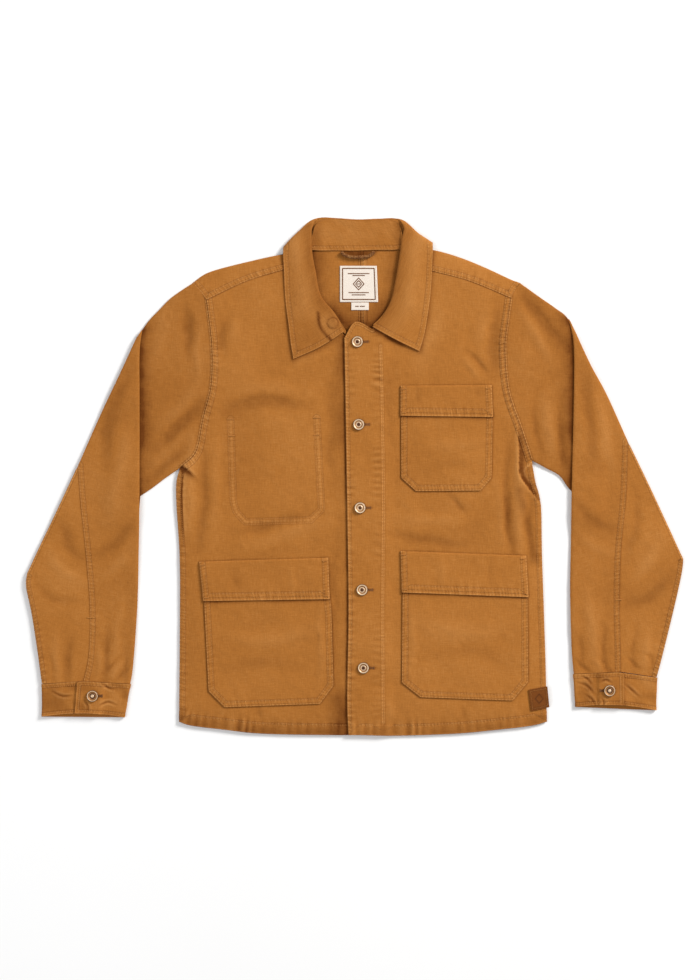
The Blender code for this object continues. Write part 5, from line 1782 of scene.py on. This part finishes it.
def makeButton(node, x, y, seat, order, rings):
    body, faces = turnedProfile(smoothProfile(buttons["body"]), buttons["around"])
    cap, capFaces = turnedProfile(smoothProfile(buttons["cap"]), 24)
    count = len(body)
    vertices = np.array(body + cap, float)
    tilt = math.radians(2.5) * np.array((math.sin(order * 2.1), math.cos(order * 1.7)))
    vertices[:, 2] += vertices[:, 0] * tilt[0] + vertices[:, 1] * tilt[1]
    vertices += (x, y, seat + 0.25)
    faces = faces + [tuple(i + count for i in face) for face in capFaces]
    obj = addObject(node + "_brass", vertices, faces, brass)
    for ring in (brassCap, brassDark):
        obj.data.materials.append(ring)
    for face in obj.data.polygons:
        away = math.hypot(face.center.x / mm - x, face.center.y / mm - y)
        face.material_index = next(which for reach, which in rings if away < reach)
    obj.data.shade_smooth()
    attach(obj, "root")
    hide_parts(node)


def makeButtonhole(node, x, y, reach, top):
    # two whipped edges with a bar at the end, reaching out from under the button
    rows = [[(x + s * 0.5, y + side * 0.95) for s in np.linspace(0, reach * 2, 30)] for side in (-1, 1)]
    bar = [(x + reach + 0.5, y + t) for t in np.linspace(-2.0, 2.0, 8)]
    for row in rows + [bar]:
        row = np.array(row, float)
        holeRows.setdefault(node, []).append(top(row))


def makeButtons():
    angle = np.linspace(0, 2 * np.pi, 16, endpoint=False)
    for order, (node, (x, y)) in enumerate(buttons["seats"].items()):
        ring = np.stack([x + 7.5 * np.cos(angle), y + 7.5 * np.sin(angle)], axis=1)
        seat = surfaces["front_left"]["top"](ring[:, 0], ring[:, 1]).max()
        makeButton(node, x, y, float(seat), order, buttons["rings"])
        makeButtonhole("front_left", x, y, 15.5, lambda row: sewnTop("front_left", row, 0.15))
    for order, (node, (x, y)) in enumerate(buttons["cuffSeats"].items()):
        side = node.rsplit("_", 1)[1]
        grid = surfaces[f"cuff_{side}"]["grid"].reshape(-1, 3)

        def cuffTop(row, grid=grid):
            gaps = np.hypot(row[:, None, 0] - grid[None, :, 0], row[:, None, 1] - grid[None, :, 1])
            near = [grid[gaps[i] < 2.6, 2].max() if (gaps[i] < 2.6).any() else grid[:, 2].max()
                for i in range(len(row))]
            return np.concatenate([row, np.array(near)[:, None]], axis=1)

        ring = np.stack([x + 7.5 * np.cos(angle), y + 7.5 * np.sin(angle)], axis=1)
        makeButton(node, x, y, float(cuffTop(ring)[:, 2].max()), order + 5, buttons["cuffRings"])
        makeButtonhole(f"cuff_{side}", x, y, 14.0 if side == "right" else -14.0, cuffTop)


# The camera, the floor and soft studio light.


def makeStudio():
    scene = bpy.context.scene
    camera = bpy.data.cameras.new("overhead")
    camera.lens, camera.sensor_width, camera.clip_end = 85.0, 36.0, 30.0
    eye = bpy.data.objects.new("overhead", camera)
    scene.collection.objects.link(eye)
    eye.location = (-0.006, -0.02025, 0.006 + 1.47 * 85.0 / 36.0)
    scene.camera = eye

    floorMaterial = bpy.data.materials.new("pale_floor")
    floorMaterial.use_nodes = True
    tree = floorMaterial.node_tree
    shader = tree.nodes["Principled BSDF"]
    grain = noiseNode(tree, addNode(tree, "ShaderNodeTexCoord").outputs["Object"], 3.0, 2.0)
    tone = addNode(tree, "ShaderNodeMapRange", {"Value": grain, "To Min": 0.9, "To Max": 0.92})
    tree.links.new(tone.outputs["Result"], shader.inputs["Base Color"])
    shader.inputs["Roughness"].default_value = 0.9
    mesh = bpy.data.meshes.new("floor")
    mesh.from_pydata([(-5, -5, -0.0004), (5, -5, -0.0004), (5, 5, -0.0004), (-5, 5, -0.0004)], [],
        [(0, 1, 2, 3)])
    mesh.materials.append(floorMaterial)
    floor = bpy.data.objects.new("floor", mesh)
    scene.collection.objects.link(floor)

    def softbox(name, place, size, power, tint):
        light = bpy.data.lights.new(name, "AREA")
        light.shape, light.size, light.energy, light.color = "SQUARE", size, power, tint
        lamp = bpy.data.objects.new(name, light)
        scene.collection.objects.link(lamp)
        lamp.location = place
        lamp.rotation_euler = (-Vector(place)).to_track_quat("-Z", "Y").to_euler()

    softbox("key", (3.6, 2.7, 2.6), 1.5, 300.0, (1.0, 0.985, 0.96))
    softbox("fill", (-2.2, -0.6, 2.4), 2.0, 30.0, (0.95, 0.97, 1.0))
    world = bpy.data.worlds.new("studio")
    scene.world = world
    world.use_nodes = True
    world.node_tree.nodes["Background"].inputs["Color"].default_value = (1.0, 1.0, 1.0, 1)
    world.node_tree.nodes["Background"].inputs["Strength"].default_value = 0.48
    scene.view_settings.view_transform = "Standard"


makeStudio()
makeBody()
makeShoulders()
print("body and shoulders laid")
for side in ("right", "left"):
    makeSleeve(side)
    makeCuff(side)
print("sleeves and cuffs laid")
makeCollar()
for node in pockets:
    makePocket(node)
print("collar and pockets sewn on")
tabBorder = makeLabels()
makeLabelThreads(tabBorder)
makeHanger()
makeButtons()
print("labels, loop and buttons on")
sewing = (("stitches", "seam", threadRows, thread), ("tacks", "tack", tackRows, thread),
    ("holes", "tack", holeRows, labelThread))
for ending, kind, waiting, finishUsed in sewing:
    for node, rows in waiting.items():
        rows = [row for row in rows if len(row) > 1]
        if rows:
            pieces[node + "_cloth"]["on"].append(sew(f"{node}_{ending}", rows, kind, finishUsed))
print("stitched:", sum(len(rows) for rows in threadRows.values()), "rows")

for facts in pieces.values():
    obj = facts["obj"]
    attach(obj, "root")
    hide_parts(facts["node"])

print("pieces finished:", len(pieces))
